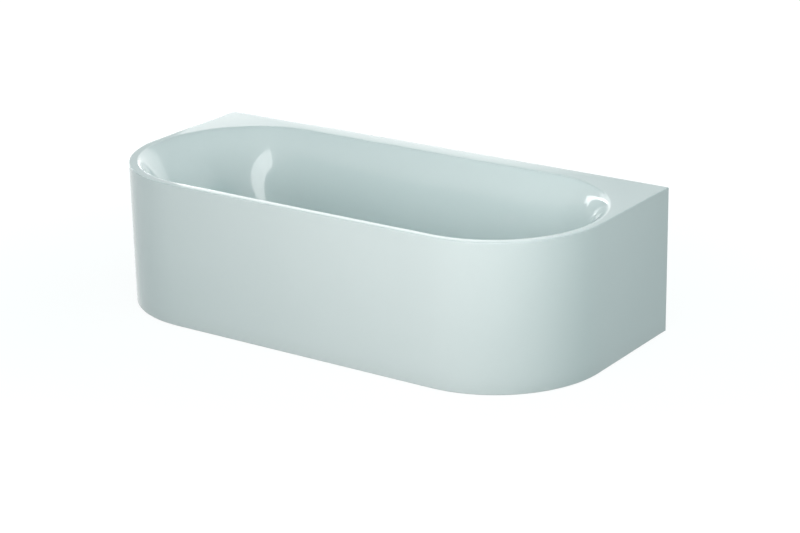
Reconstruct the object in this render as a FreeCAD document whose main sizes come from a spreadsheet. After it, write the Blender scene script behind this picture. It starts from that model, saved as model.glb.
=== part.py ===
# A back-to-wall bath: an oval bowl in a D-shaped deck, with its apron, feet, waste, overflow and trap.
# Millimetres. +X runs along the bath, +Y points to the wall, +Z is up, and the floor is at zero.
import FreeCAD, Part
import math
import operator
import os
from types import SimpleNamespace

import Sketcher
from FreeCAD import Placement, Rotation, Vector

# Driving dimensions, each under the name of what it measures
SIZES = {
    # Deck and bowl
    "length": 1850,
    "width": 850,
    "height": 515,
    "corner_radius": 395,
    "shell_sheet": 2.5,
    "rim_front": 28,
    "rim_end": 23,
    "rim_back": 66,
    "rim_edge": 2,
    "mouth_flat": 1.5,
    "back_flange": 35,
    # Bowl: how far each level lies below the rim or above the floor, and in from the mouth
    "lip_drop": 6,
    "lip_end": 16,
    "lip_side": 6,
    "curl_drop": 1.5,
    "curl_end": 7.5,
    "curl_side": 3.9,
    "shoulder_drop": 120,
    "shoulder_end": 128,
    "shoulder_side": 42,
    "shoulder_radius": 239,
    "haunch_rise": 170,
    "haunch_end": 202,
    "haunch_side": 70,
    "haunch_radius": 156,
    "foot_end": 263,
    "foot_side": 95,
    "foot_radius": 105,
    "floor_curve": 55,
    "underfloor": 97,
    # Apron
    "apron_sheet": 1.5,
    "apron_gap": 2,
    "apron_flange": 16,
    "apron_foot": 20,
    "apron_return": 20,
    # Bearers, pads and mats
    "bearer_spacing": 760,
    "bearer_inset": 13,
    "bearer_width": 44,
    "bearer_height": 34,
    "bearer_sheet": 3,
    "pad_thickness": 7,
    "pad_length": 80,
    "pad_inset": 25,
    "mat_thickness": 3,
    "mat_length": 170,
    "mat_margin": 78,
    "mat_spacing": 440,
    "end_mat_length": 90,
    "end_mat_spacing": 940,
    # Feet
    "foot_inset": 45,
    "rod_radius": 6,
    "rod_above": 30,
    "rod_seat": 10,
    "nut_height": 10,
    "nut_radius": 10.5,
    "sole_radius": 30,
    "sole_height": 6,
    "boss_radius": 13,
    "boss_height": 26,
    # Stays, anchors and small fasteners
    "stay_sheet": 3,
    "stay_width": 30,
    "stay_lap": 30,
    "stay_clear": 6,
    "bolt_radius": 3,
    "bolt_head": 4,
    "bolt_head_radius": 5.8,
    "bolt_length": 16,
    "small_nut": 5,
    "anchor_spacing": 1200,
    "anchor_sheet": 3,
    "anchor_width": 40,
    "anchor_leg": 80,
    "anchor_gap": 4,
    "anchor_hole": 4,
    "anchor_pitch": 40,
    "tag_sheet": 2,
    "tag_width": 24,
    "tag_drop": 22,
    # Waste
    "waste_margin": 113,
    "waste_hole": 26,
    "waste_recess": 45,
    "recess_depth": 5,
    "waste_boss": 49,
    "flange_radius": 36,
    "flange_sheet": 2,
    "flange_tube": 24,
    "flange_bore": 21,
    "flange_drop": 22,
    "upper_seal": 1.2,
    "lower_seal": 4,
    "lower_seal_radius": 42,
    "body_flange": 43,
    "body_flange_height": 5,
    "chamber_radius": 33,
    "chamber_wall": 4,
    "chamber_height": 70,
    "guide_radius": 7,
    "guide_height": 4,
    "spoke_width": 3,
    "stem_radius": 4,
    "cap_radius": 31,
    "cap_height": 3,
    "cap_seat_gap": 0.4,
    "plug_boss": 18,
    "plug_boss_height": 5,
    "plug_seal_radius": 20.5,
    "plug_seal_height": 3,
    # Lift lever and cable
    "lever_drop": 30,
    "lever_arm": 18,
    "lever_swing": 30,
    "lever_nose": 3,
    "lever_width": 8,
    "lever_shaft": 3,
    "lever_boss": 7,
    "lever_boss_reach": 40,
    "shaft_seal": 0.6,
    "crank_offset": 46,
    "crank_sheet": 4,
    "crank_pin": 1.2,
    "wire_radius": 0.8,
    "wire_eye": 3.2,
    "ferrule_radius": 3.5,
    "ferrule_length": 25,
    "ferrule_distance": 50,
    "cable_radius": 3,
    "cable_bend": 80,
    "cable_drop": 45,
    "port_radius": 4.5,
    "port_offset": 28,
    # Overflow
    "overflow_drop": 130,
    "overflow_tilt": 14,
    "overflow_hole": 26,
    "overflow_recess": 43,
    "overflow_boss": 47,
    "seat_depth": 3,
    "seat_reach": 12,
    "overflow_seal_radius": 37,
    "overflow_seal": 4,
    "cup_flange": 39,
    "cup_flange_height": 5,
    "cup_radius": 30,
    "cup_wall": 4,
    "cup_depth": 31,
    "pillar_radius": 5,
    "pillar_offset": 20,
    "plate_radius": 33,
    "plate_sheet": 2.5,
    "plate_ring": 9,
    "plate_bar": 12,
    "screw_radius": 2.4,
    "screw_head": 4.5,
    "screw_head_height": 2.5,
    "screw_length": 16,
    "spindle_radius": 4,
    "drum_radius": 14,
    "drum_height": 6,
    "knob_radius": 35,
    "knob_height": 14,
    "knob_lift": 6,
    "knob_wall": 2.5,
    "knob_boss": 8,
    "knob_bevel": 2,
    "notch_radius": 4,
    "notch_count": 12,
    # Hose and elbow
    "spigot_radius": 18,
    "spigot_bore": 14,
    "spigot_drop": 62,
    "hose_radius": 20.5,
    "hose_groove": 17,
    "cuff_length": 30,
    "cuff_lap": 25,
    "rib_count": 22,
    "rib_width": 4,
    "clamp_sheet": 1.5,
    "clamp_width": 9,
    "clip_height": 8,
    "clip_wall": 2.4,
    "elbow_radius": 45,
    "elbow_rise": 30,
    "inlet_drop": 33,
    "inlet_radius": 21.5,
    "inlet_reach": 58,
    "inlet_depth": 22,
    # Trap and outlet
    "outlet_drop": 46,
    "outlet_radius": 23,
    "outlet_bore": 19,
    "outlet_reach": 52,
    "union_seal": 2,
    "union_radius": 30,
    "union_length": 26,
    "trap_radius": 42,
    "trap_wall": 3,
    "trap_below": 32,
    "trap_height": 76,
    "trap_neck": 16,
    "trap_cap": 44,
    "trap_cap_height": 5,
    "trap_cap_seal": 1.5,
    "trap_lug": 3,
    "lug_count": 6,
    "pipe_rise": 10,
    "pipe_radius": 24.5,
    "pipe_wall": 2.5,
    "pipe_setback": 95,
    "pipe_spigot": 25,
    "pipe_spigot_length": 60,
    "socket_radius": 30,
    "socket_depth": 20,
    "outlet_seal": 4,
    # Clearances
    "running_fit": 0.1,
    "slack": 0.5,
}

NODES = []
QUARTER = math.sqrt(0.5)
TIGHT = 1 - QUARTER
RUN_SHARE = 0.45
OPERATIONS = {"+": operator.add, "-": operator.sub, "*": operator.mul, "/": operator.truediv}

doc = FreeCAD.newDocument("oval_bath")
sheet = doc.addObject("Spreadsheet::Sheet", "sizes")
for row, (alias, number) in enumerate(SIZES.items(), start=1):
    sheet.set(f"A{row}", alias)
    sheet.set(f"B{row}", str(number))
    sheet.setAlias(f"B{row}", alias)
doc.recompute()


# Sizes that carry their number and the sheet formula it comes from
class Size:
    def __init__(self, value, text):
        self.value = value
        self.text = text

    def __add__(self, other):
        return combine("+", self, other)

    def __radd__(self, other):
        return combine("+", other, self)

    def __sub__(self, other):
        return combine("-", self, other)

    def __rsub__(self, other):
        return combine("-", other, self)

    def __mul__(self, other):
        return combine("*", self, other)

    def __rmul__(self, other):
        return combine("*", other, self)

    def __truediv__(self, other):
        return combine("/", self, other)

    def __neg__(self):
        return combine("-", 0, self)


def as_size(item):
    return item if isinstance(item, Size) else Size(float(item), f"({item})")


def combine(sign, left, right):
    left = as_size(left)
    right = as_size(right)
    return Size(OPERATIONS[sign](left.value, right.value), f"({left.text} {sign} {right.text})")


def cosine(angle):
    return Size(math.cos(math.radians(angle.value)), f"cos({angle.text})")


def sine(angle):
    return Size(math.sin(math.radians(angle.value)), f"sin({angle.text})")


def bind(item, name, amount):
    item.setExpression(name, as_size(amount).text)


size = SimpleNamespace(**{alias: Size(float(sheet.get(alias)), f"sizes.{alias}") for alias in SIZES})

# Places that many pieces share
half_length = size.length / 2
back_y = size.width / 2
front_y = -back_y
deck_under = size.height - size.shell_sheet
bowl_y = (size.rim_front - size.rim_back) / 2
floor_top = size.underfloor + size.shell_sheet
mouth_x = half_length - size.rim_end
mouth_y = (size.width - size.rim_front - size.rim_back) / 2
mouth_radius = mouth_y - size.mouth_flat
haunch_z = floor_top + size.haunch_rise
shoulder_z = size.height - size.shoulder_drop
throat_z = size.height - size.lip_drop
floor_side = mouth_y - size.foot_side - size.floor_curve

bearer_length = 2 * (floor_side - size.bearer_inset)
foot_reach = bearer_length / 2 - size.foot_inset
bearer_top = size.underfloor - size.pad_thickness
bearer_under = bearer_top - size.bearer_height
web_top = bearer_under + size.bearer_sheet
apron_floor = size.apron_gap + size.apron_sheet

waste_y = bowl_y - floor_side + size.waste_margin
recess_floor = floor_top - size.recess_depth
boss_under = recess_floor - size.shell_sheet
body_top = boss_under - size.lower_seal
body_under = body_top - size.chamber_height
inlet_z = body_top - size.inlet_drop
outlet_z = body_top - size.outlet_drop
lever_y = waste_y - size.lever_arm
lever_z = body_top - size.lever_drop
lever_tilt = size.lever_swing / 2
flange_under = recess_floor + size.upper_seal
flange_top = flange_under + size.flange_sheet
cap_under = flange_top + size.cap_seat_gap
wire_z = lever_z + size.lever_arm
ferrule_y = waste_y - size.ferrule_distance

tilt = size.overflow_tilt
overflow_z = size.height - size.overflow_drop
shoulder_lead = (overflow_z - haunch_z) / (shoulder_z - haunch_z)
wall_inset = size.haunch_side + (size.shoulder_side - size.haunch_side) * shoulder_lead
seat_y = bowl_y - mouth_y + wall_inset - size.seat_depth
cup_front = -(size.shell_sheet + size.overflow_seal)
cup_back = cup_front - size.cup_depth
cup_middle = (cup_front - size.cup_flange_height + cup_back) / 2
hose_y = seat_y + cup_middle * cosine(tilt)
cup_z = overflow_z + cup_middle * sine(tilt)
spigot_end = cup_z - size.spigot_drop
hose_top = spigot_end + size.cuff_lap
elbow_top = inlet_z + size.elbow_radius + size.elbow_rise
hose_bottom = elbow_top - size.cuff_lap
hose_bore = size.spigot_radius + size.running_fit

trap_inlet_y = waste_y + size.outlet_reach + size.union_seal
trap_y = trap_inlet_y + size.trap_radius + size.trap_neck
trap_under = outlet_z - size.trap_below
trap_top = trap_under + size.trap_height
pipe_z = outlet_z + size.pipe_rise
socket_y = trap_y + size.trap_radius + size.socket_depth

# Directions a round piece can point in, as a turn of an upright one
TURNS = {
    "up": (Vector(1, 0, 0), as_size(0)),
    "right": (Vector(0, 1, 0), as_size(90)),
    "back": (Vector(1, 0, 0), as_size(-90)),
    "front": (Vector(1, 0, 0), as_size(90)),
    "inward": (Vector(1, 0, 0), tilt - 90),
    "about": (Vector(0, 0, 1), as_size(180)),
}


def place(item, at, along="up"):
    axis, angle = TURNS[along]
    item.Placement = Placement(Vector(), Rotation(axis, angle.value))
    bind(item, "Placement.Rotation.Angle", angle)
    for name, amount in zip("xyz", at):
        bind(item, f"Placement.Base.{name}", amount)
    return item


def from_seat(distance, x=0):
    """A point on the overflow's axis, a distance into the bowl from its seat."""
    return (x, seat_y + distance * cosine(tilt), overflow_z + distance * sine(tilt))


# Round, square and joined solids
def cylinder(name, radius, height, at, along="up"):
    item = doc.addObject("Part::Cylinder", name)
    bind(item, "Radius", radius)
    bind(item, "Height", height)
    return place(item, at, along)


def prism(name, sides, radius, height, at, along="up"):
    item = doc.addObject("Part::Prism", name)
    item.Polygon = sides
    bind(item, "Circumradius", radius)
    bind(item, "Height", height)
    return place(item, at, along)


def box(name, extents, at, along="up"):
    item = doc.addObject("Part::Box", name)
    for side, amount in zip(("Length", "Width", "Height"), extents):
        bind(item, side, amount)
    return place(item, at, along)


def fuse(name, items):
    item = doc.addObject("Part::MultiFuse", name)
    item.Shapes = items
    return item


def cut(name, base, tools):
    item = doc.addObject("Part::Cut", name)
    item.Base = base
    item.Tool = tools[0] if len(tools) == 1 else fuse(f"{name}_tools", tools)
    return item


def group(name, items):
    item = doc.addObject("Part::Compound", name)
    item.Links = items
    return item


def ring(name, outer, inner, height, at, along="up"):
    return cut(name, cylinder(f"{name}_outer", outer, height, at, along),
               [cylinder(f"{name}_bore", inner, height, at, along)])


def node(item, label):
    item.Label = label
    NODES.append(item)
    return item


# Bodies, sketches and their features
def new_body(name, at=(0, 0, 0), along="up"):
    return place(doc.addObject("PartDesign::Body", name), at, along)


def sketch_on(body, name, plane, offset=0):
    sketch = body.newObject("Sketcher::SketchObject", name)
    support = next(feature for feature in body.Origin.OriginFeatures if feature.Role == plane)
    sketch.AttachmentSupport = (support, [""])
    sketch.MapMode = "FlatFace"
    bind(sketch, "AttachmentOffset.Base.z", offset)
    return sketch


def fix_point(sketch, geometry, position, point):
    for kind, amount in zip(("DistanceX", "DistanceY"), point):
        amount = as_size(amount)
        number = sketch.addConstraint(
            Sketcher.Constraint(kind, -1, 1, geometry, position, amount.value))
        bind(sketch, f"Constraints[{number}]", amount)


def fix_radius(sketch, geometry, radius):
    radius = as_size(radius)
    number = sketch.addConstraint(Sketcher.Constraint("Radius", geometry, radius.value))
    bind(sketch, f"Constraints[{number}]", radius)


def draw(sketch, corners, arcs=None):
    """Draws a closed outline; arcs holds radius and centre of the round after a numbered corner."""
    arcs = arcs or {}
    first = sketch.GeometryCount
    points = [Vector(as_size(x).value, as_size(y).value, 0) for x, y in corners]
    count = len(points)
    ends = []
    for index, start in enumerate(points):
        end = points[(index + 1) % count]
        forward = True
        if index in arcs:
            radius, (x, y) = arcs[index]
            centre = Vector(as_size(x).value, as_size(y).value, 0)
            outward = ((start + end) / 2 - centre).normalize()
            middle = centre + outward * as_size(radius).value
            forward = (start - centre).cross(end - centre).z > 0
            curve = Part.Arc(start, middle, end) if forward else Part.Arc(end, middle, start)
        else:
            curve = Part.LineSegment(start, end)
        sketch.addGeometry(curve, False)
        ends.append((1, 2) if forward else (2, 1))
    for index in range(count):
        following = (index + 1) % count
        sketch.addConstraint(Sketcher.Constraint(
            "Coincident", first + index, ends[index][1], first + following, ends[following][0]))
    for index, point in enumerate(corners):
        fix_point(sketch, first + index, ends[index][0], point)
    for index, (radius, centre) in arcs.items():
        fix_radius(sketch, first + index, radius)


def draw_circle(sketch, centre, radius):
    x, y = (as_size(amount).value for amount in centre)
    curve = Part.Circle(Vector(x, y, 0), Vector(0, 0, 1), as_size(radius).value)
    geometry = sketch.addGeometry(curve, False)
    fix_point(sketch, geometry, 3, centre)
    fix_radius(sketch, geometry, radius)


def pad(body, sketch, length, symmetric=False):
    feature = body.newObject("PartDesign::Pad", f"{sketch.Name}_pad")
    feature.Profile = sketch
    feature.SideType = "Symmetric" if symmetric else "One side"
    bind(feature, "Length", length)
    return feature


def pocket(body, sketch, length, symmetric=False):
    feature = body.newObject("PartDesign::Pocket", f"{sketch.Name}_pocket")
    feature.Profile = sketch
    feature.SideType = "Symmetric" if symmetric else "One side"
    bind(feature, "Length", length)
    return feature


def loft(body, kind, name, sections):
    feature = body.newObject(f"PartDesign::{kind}Loft", name)
    feature.Profile = sections[0]
    feature.Sections = sections[1:]
    return feature


def revolve(body, name, corners):
    sketch = sketch_on(body, name, "XZ_Plane")
    draw(sketch, corners)
    feature = body.newObject("PartDesign::Revolution", f"{name}_turn")
    feature.Profile = sketch
    feature.ReferenceAxis = (sketch, ["V_Axis"])
    feature.Angle = 360
    return feature


# Outlines in plan
def deck_outline():
    side = half_length - size.corner_radius
    front = front_y + size.corner_radius
    corners = [(-half_length, back_y), (half_length, back_y), (half_length, front),
               (side, front_y), (-side, front_y), (-half_length, front)]
    rounds = {2: (size.corner_radius, (side, front)), 4: (size.corner_radius, (-side, front))}
    return corners, rounds


def skirt_outline(depth):
    """The D-shaped strip of the apron, a depth wide, open at the wall."""
    side = half_length - size.corner_radius
    front = front_y + size.corner_radius
    inner = half_length - depth
    inner_radius = size.corner_radius - depth
    corners = [(-half_length, back_y), (-half_length, front), (-side, front_y), (side, front_y),
               (half_length, front), (half_length, back_y), (inner, back_y), (inner, front),
               (side, front_y + depth), (-side, front_y + depth), (-inner, front), (-inner, back_y)]
    left = (-side, front)
    right = (side, front)
    rounds = {1: (size.corner_radius, left), 3: (size.corner_radius, right),
              7: (inner_radius, right), 9: (inner_radius, left)}
    return corners, rounds


def oval_outline(half_x, half_y, radius):
    """A rectangle with round corners about the bowl's middle."""
    flat_x = half_x - radius
    top = bowl_y + half_y
    bottom = bowl_y - half_y
    upper = top - radius
    lower = bottom + radius
    corners = [(-flat_x, top), (flat_x, top), (half_x, upper), (half_x, lower),
               (flat_x, bottom), (-flat_x, bottom), (-half_x, lower), (-half_x, upper)]
    rounds = {1: (radius, (flat_x, upper)), 3: (radius, (flat_x, lower)),
              5: (radius, (-flat_x, lower)), 7: (radius, (-flat_x, upper))}
    return corners, rounds


def bowl_levels():
    """Height, half length, half width and corner radius of the bowl's inside, level by level."""
    curve = size.floor_curve

    def inside_mouth(z, end, side, radius):
        return (z, mouth_x - end, mouth_y - side, radius)

    def floor_level(rise, inset):
        return inside_mouth(floor_top + rise, size.foot_end + inset, size.foot_side + inset,
                            size.foot_radius - inset)

    return {
        "floor": floor_level(0, curve),
        "heel": floor_level(curve * TIGHT, curve * TIGHT),
        "foot": inside_mouth(floor_top + curve, size.foot_end, size.foot_side, size.foot_radius),
        "haunch": inside_mouth(haunch_z, size.haunch_end, size.haunch_side, size.haunch_radius),
        "shoulder": inside_mouth(shoulder_z, size.shoulder_end, size.shoulder_side,
                                 size.shoulder_radius),
        "throat": inside_mouth(throat_z, size.lip_end, size.lip_side, mouth_radius - size.lip_side),
        "curl": inside_mouth(size.height - size.curl_drop, size.curl_end, size.curl_side,
                             mouth_radius - size.curl_side),
        "mouth": inside_mouth(size.height, 0, 0, mouth_radius),
    }


def bowl_sketch(body, name, level, grow=0, height=None):
    level_z, half_x, half_y, radius = level
    sketch = sketch_on(body, name, "XY_Plane", level_z if height is None else height)
    draw(sketch, *oval_outline(half_x + grow, half_y + grow, radius + grow))
    return sketch


def seat_sketch(body, name, distance, radius):
    """A circle about the overflow's axis, on a plane a distance into the bowl from its seat."""
    sketch = sketch_on(body, name, "XY_Plane")
    axis, angle = TURNS["inward"]
    sketch.AttachmentOffset = Placement(Vector(), Rotation(axis, angle.value))
    bind(sketch, "AttachmentOffset.Rotation.Angle", angle)
    for letter, amount in zip("xyz", from_seat(distance)):
        bind(sketch, f"AttachmentOffset.Base.{letter}", amount)
    draw_circle(sketch, (0, 0), radius)
    return sketch


def round_sketch(body, name, height, radius):
    """A circle about the waste's axis at a height."""
    sketch = sketch_on(body, name, "XY_Plane", height)
    draw_circle(sketch, (0, waste_y), radius)
    return sketch


# The enamelled shell: deck, oval bowl, rear flange, waste recess and overflow seat
def make_shell():
    body = new_body("shell")
    deck = sketch_on(body, "deck", "XY_Plane", deck_under)
    draw(deck, *deck_outline())
    plate = pad(body, deck, size.shell_sheet)
    doc.recompute()
    edges = [f"Edge{number}" for number, edge in enumerate(plate.Shape.Edges, start=1)
             if edge.BoundBox.ZMin > deck_under.value + size.shell_sheet.value / 2]
    rounded = body.newObject("PartDesign::Fillet", "deck_edge")
    rounded.Base = (plate, edges)
    bind(rounded, "Radius", size.rim_edge)

    flange = sketch_on(body, "rear_flange", "XY_Plane", deck_under - size.back_flange)
    flange_x = half_length - size.apron_return - size.slack
    flange_front = back_y - size.shell_sheet
    draw(flange, [(-flange_x, flange_front), (flange_x, flange_front),
                  (flange_x, back_y), (-flange_x, back_y)])
    pad(body, flange, size.back_flange)

    levels = bowl_levels()
    wall = size.shell_sheet
    floor_band = ("floor", "heel", "foot")
    wall_band = ("foot", "haunch", "shoulder", "throat")
    lip_band = ("throat", "curl", "mouth")
    under = {name: bowl_sketch(body, f"under_{name}", levels[name], wall, levels[name][0] - wall)
             for name in dict.fromkeys(floor_band + wall_band)}
    inside = {name: bowl_sketch(body, f"inside_{name}", level) for name, level in levels.items()}
    loft(body, "Additive", "under_curve", [under[name] for name in floor_band])
    loft(body, "Additive", "under_wall", [under[name] for name in wall_band])
    collar = bowl_sketch(body, "collar", levels["curl"], wall, throat_z - wall)
    pad(body, collar, deck_under - throat_z + wall)
    waste_boss = round_sketch(body, "waste_boss", boss_under, size.waste_boss)
    pad(body, waste_boss, size.recess_depth + wall / 2)
    overflow_boss = seat_sketch(body, "overflow_boss", -wall, size.overflow_boss)
    pad(body, overflow_boss, wall + size.seat_depth)
    loft(body, "Subtractive", "floor_curve", [inside[name] for name in floor_band])
    loft(body, "Subtractive", "wall", [inside[name] for name in wall_band])
    loft(body, "Subtractive", "lip", [inside[name] for name in lip_band])

    recess = round_sketch(body, "waste_recess", floor_top, size.waste_recess)
    pocket(body, recess, size.recess_depth)
    waste_hole = round_sketch(body, "waste_hole", floor_top, size.waste_hole)
    pocket(body, waste_hole, size.recess_depth + 2 * wall)
    seat = seat_sketch(body, "overflow_seat", size.seat_reach, size.overflow_recess)
    pocket(body, seat, size.seat_reach)
    overflow_hole = seat_sketch(body, "overflow_hole", size.seat_reach, size.overflow_hole)
    pocket(body, overflow_hole, size.seat_reach + 2 * wall)
    node(body, "bath_shell")


# The apron: front, round corners and ends, with stiffening flanges
def make_apron():
    body = new_body("skirt")
    wall = sketch_on(body, "skirt_wall", "XY_Plane", size.apron_gap)
    draw(wall, *skirt_outline(size.apron_sheet))
    pad(body, wall, deck_under - size.apron_gap)
    upper = sketch_on(body, "upper_flange", "XY_Plane", deck_under - size.apron_sheet)
    draw(upper, *skirt_outline(size.apron_flange))
    pad(body, upper, size.apron_sheet)
    lower = sketch_on(body, "lower_flange", "XY_Plane", size.apron_gap)
    draw(lower, *skirt_outline(size.apron_foot))
    pad(body, lower, size.apron_sheet)
    returns = sketch_on(body, "rear_returns", "XY_Plane", size.apron_gap)
    front = back_y - size.apron_sheet
    inner = half_length - size.apron_return
    draw(returns, [(inner, front), (half_length, front), (half_length, back_y), (inner, back_y)])
    draw(returns, [(-half_length, front), (-inner, front), (-inner, back_y), (-half_length, back_y)])
    pad(body, returns, deck_under - size.apron_gap)
    holes = sketch_on(body, "stay_holes", "XY_Plane", apron_floor)
    for centre in foot_holes("front") + foot_holes("end"):
        draw_circle(holes, centre, size.bolt_radius + size.slack)
    pocket(body, holes, size.apron_sheet)
    node(body, "apron")


def foot_holes(stay):
    """Where the front or end stays are bolted to the apron's lower flange, left and right."""
    reach = (size.apron_foot + size.apron_sheet) / 2
    across = size.bearer_spacing / 2 if stay == "front" else half_length - reach
    y = front_y + reach if stay == "front" else bowl_y
    return [(-across, y), (across, y)]


def web_holes(stay):
    """Where the front or end stays are bolted to the bearers' webs, left and right."""
    across = size.bearer_spacing / 2
    front = bowl_y - bearer_length / 2 + size.stay_lap / 2 - size.stay_sheet
    y = front if stay == "front" else bowl_y
    return [(-across, y), (across, y)]


# Two channels under the floor, their bonding pads and the damping mats
def make_bearers():
    half = size.bearer_width / 2
    inner = half - size.bearer_sheet
    for side, label in ((-1, "bearer_left"), (1, "bearer_right")):
        body = new_body(label, (side * size.bearer_spacing / 2, bowl_y, 0))
        channel = sketch_on(body, f"{label}_channel", "XZ_Plane")
        draw(channel, [(-half, bearer_under), (half, bearer_under), (half, bearer_top),
                       (inner, bearer_top), (inner, web_top), (-inner, web_top),
                       (-inner, bearer_top), (-half, bearer_top)])
        pad(body, channel, bearer_length, symmetric=True)
        holes = sketch_on(body, f"{label}_holes", "XY_Plane", web_top)
        for end in (-1, 1):
            draw_circle(holes, (0, end * foot_reach), size.rod_radius + size.slack)
        for end in ("front", "end"):
            draw_circle(holes, (0, web_holes(end)[0][1] - bowl_y), size.bolt_radius + size.slack)
        pocket(body, holes, size.bearer_sheet)
        node(body, label)


def make_pads():
    extents = (size.bearer_width, size.pad_length, size.pad_thickness)
    reach = (bearer_length - size.pad_length) / 2 - size.pad_inset
    pads = []
    for side in (-1, 1):
        for end in (-1, 1):
            at = (side * size.bearer_spacing / 2 - size.bearer_width / 2,
                  bowl_y + end * reach - size.pad_length / 2, bearer_top)
            pads.append(box(f"bonding_pad_{len(pads)}", extents, at))
    node(group("pads", pads), "bearer_pads")


def make_mats():
    kinds = ((size.mat_spacing, size.mat_length), (size.end_mat_spacing, size.end_mat_length))
    low = size.underfloor - size.mat_thickness
    half_width = floor_side - size.mat_margin
    mats = []
    for side in (-1, 1):
        for spacing, length in kinds:
            at = (side * spacing / 2 - length / 2, bowl_y - half_width, low)
            mats.append(box(f"mat_{len(mats)}", (length, 2 * half_width, size.mat_thickness), at))
    node(group("mats", mats), "damping_mats")


# Four adjustable feet, each with a pad, a threaded rod and a pair of nuts
def make_feet():
    bore = size.rod_radius + size.running_fit
    for side, left_right in ((-1, "left"), (1, "right")):
        for end, front_back in ((-1, "front"), (1, "rear")):
            name = f"{front_back}_{left_right}"
            x = side * size.bearer_spacing / 2
            y = bowl_y + end * foot_reach
            body = new_body(f"foot_pad_{name}_body", (x, y, 0))
            revolve(body, f"foot_profile_{name}", [
                (0, 0), (size.sole_radius, 0), (size.sole_radius, size.sole_height),
                (size.boss_radius, size.boss_height / 2), (size.boss_radius, size.boss_height),
                (bore, size.boss_height), (bore, size.rod_seat), (0, size.rod_seat)])
            node(body, f"foot_pad_{name}")
            rod_length = web_top + size.rod_above - size.rod_seat
            rod = cylinder(f"rod_{name}", size.rod_radius, rod_length, (x, y, size.rod_seat))
            node(rod, f"foot_rod_{name}")
            nuts = []
            for part, z in (("under", bearer_under - size.nut_height), ("over", web_top)):
                nut_name = f"nut_{name}_{part}"
                blank = prism(f"{nut_name}_blank", 6, size.nut_radius, size.nut_height, (x, y, z))
                thread = cylinder(f"{nut_name}_thread", bore, size.nut_height, (x, y, z))
                nuts.append(cut(nut_name, blank, [thread]))
            node(group(f"nuts_{name}", nuts), f"foot_nuts_{name}")


# Stays from the bearers to the lower flange of the apron
def stay_profile(apron_face, inward, lap_end):
    """A cranked strap: a foot on the flange, a rise, and a lap under the bearer."""
    strap = size.stay_sheet
    start = apron_face + inward * (size.apron_sheet + size.slack)
    bend = apron_face + inward * (size.apron_foot + size.stay_clear)
    bend_end = bend + inward * strap
    return [(start, apron_floor), (bend_end, apron_floor), (bend_end, bearer_under - strap),
            (lap_end, bearer_under - strap), (lap_end, bearer_under), (bend, bearer_under),
            (bend, apron_floor + strap), (start, apron_floor + strap)]


def bore_stay(body, label, centres):
    holes = sketch_on(body, f"{label}_holes", "XY_Plane", bearer_under)
    for centre in centres:
        draw_circle(holes, centre, size.bolt_radius + size.slack)
    pocket(body, holes, bearer_under)


def make_stays():
    across = size.bearer_spacing / 2
    front_lap = bowl_y - bearer_length / 2 + size.stay_lap
    end_lap = across - size.bearer_width / 2
    for side, label in ((-1, "front_stay_left"), (1, "front_stay_right")):
        body = new_body(label, (side * across, 0, 0))
        strap = sketch_on(body, f"{label}_strap", "YZ_Plane")
        draw(strap, stay_profile(front_y, 1, front_lap))
        pad(body, strap, size.stay_width, symmetric=True)
        bore_stay(body, label, [(0, foot_holes("front")[0][1]), (0, web_holes("front")[0][1])])
        node(body, label)
    for along, label in (("about", "end_stay_left"), ("up", "end_stay_right")):
        body = new_body(label, (0, bowl_y, 0), along)
        strap = sketch_on(body, f"{label}_strap", "XZ_Plane")
        draw(strap, stay_profile(half_length, -1, end_lap))
        pad(body, strap, size.stay_width, symmetric=True)
        bore_stay(body, label, [(foot_holes("end")[1][0], 0), (across, 0)])
        node(body, label)


# Wall anchors that hook in front of the rear flange
def make_anchors():
    flange_end = deck_under - size.back_flange
    bend_z = flange_end - size.anchor_gap
    low = bend_z - size.anchor_leg
    inner = back_y - size.shell_sheet
    plate = size.anchor_sheet
    hook_top = deck_under - size.anchor_gap
    for side, label in ((-1, "wall_anchor_left"), (1, "wall_anchor_right")):
        body = new_body(label, (side * size.anchor_spacing / 2, 0, 0))
        strap = sketch_on(body, f"{label}_strap", "YZ_Plane")
        draw(strap, [(back_y - plate, low), (back_y, low), (back_y, bend_z), (inner, bend_z),
                     (inner, hook_top), (inner - plate, hook_top),
                     (inner - plate, bend_z - plate), (back_y - plate, bend_z - plate)])
        pad(body, strap, size.anchor_width, symmetric=True)
        holes = sketch_on(body, f"{label}_holes", "XZ_Plane", -back_y)
        for end in (-1, 1):
            hole_z = low + size.anchor_leg / 2 + end * size.anchor_pitch / 2
            draw_circle(holes, (0, hole_z), size.anchor_hole)
        pocket(body, holes, 4 * plate, symmetric=True)
        node(body, label)


# Small bolts and nuts, and the earth tag on the right bearer
def bolt(name, at, along):
    head = prism(f"{name}_head", 6, size.bolt_head_radius, size.bolt_head, at, along)
    shank = cylinder(f"{name}_shank", size.bolt_radius, size.bolt_head + size.bolt_length, at, along)
    return fuse(name, [head, shank])


def nut(name, at, along):
    bore = size.bolt_radius + size.running_fit
    blank = prism(f"{name}_blank", 6, size.bolt_head_radius, size.small_nut, at, along)
    return cut(name, blank, [cylinder(f"{name}_bore", bore, size.small_nut, at, along)])


def foot_screw(name, x, y):
    """A short screw down through a stay into the apron's lower flange."""
    top = apron_floor + size.stay_sheet
    head = prism(f"{name}_head", 6, size.bolt_head_radius, size.bolt_head, (x, y, top))
    shank = cylinder(f"{name}_shank", size.bolt_radius, top - size.apron_gap, (x, y, size.apron_gap))
    return fuse(name, [head, shank])


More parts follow.
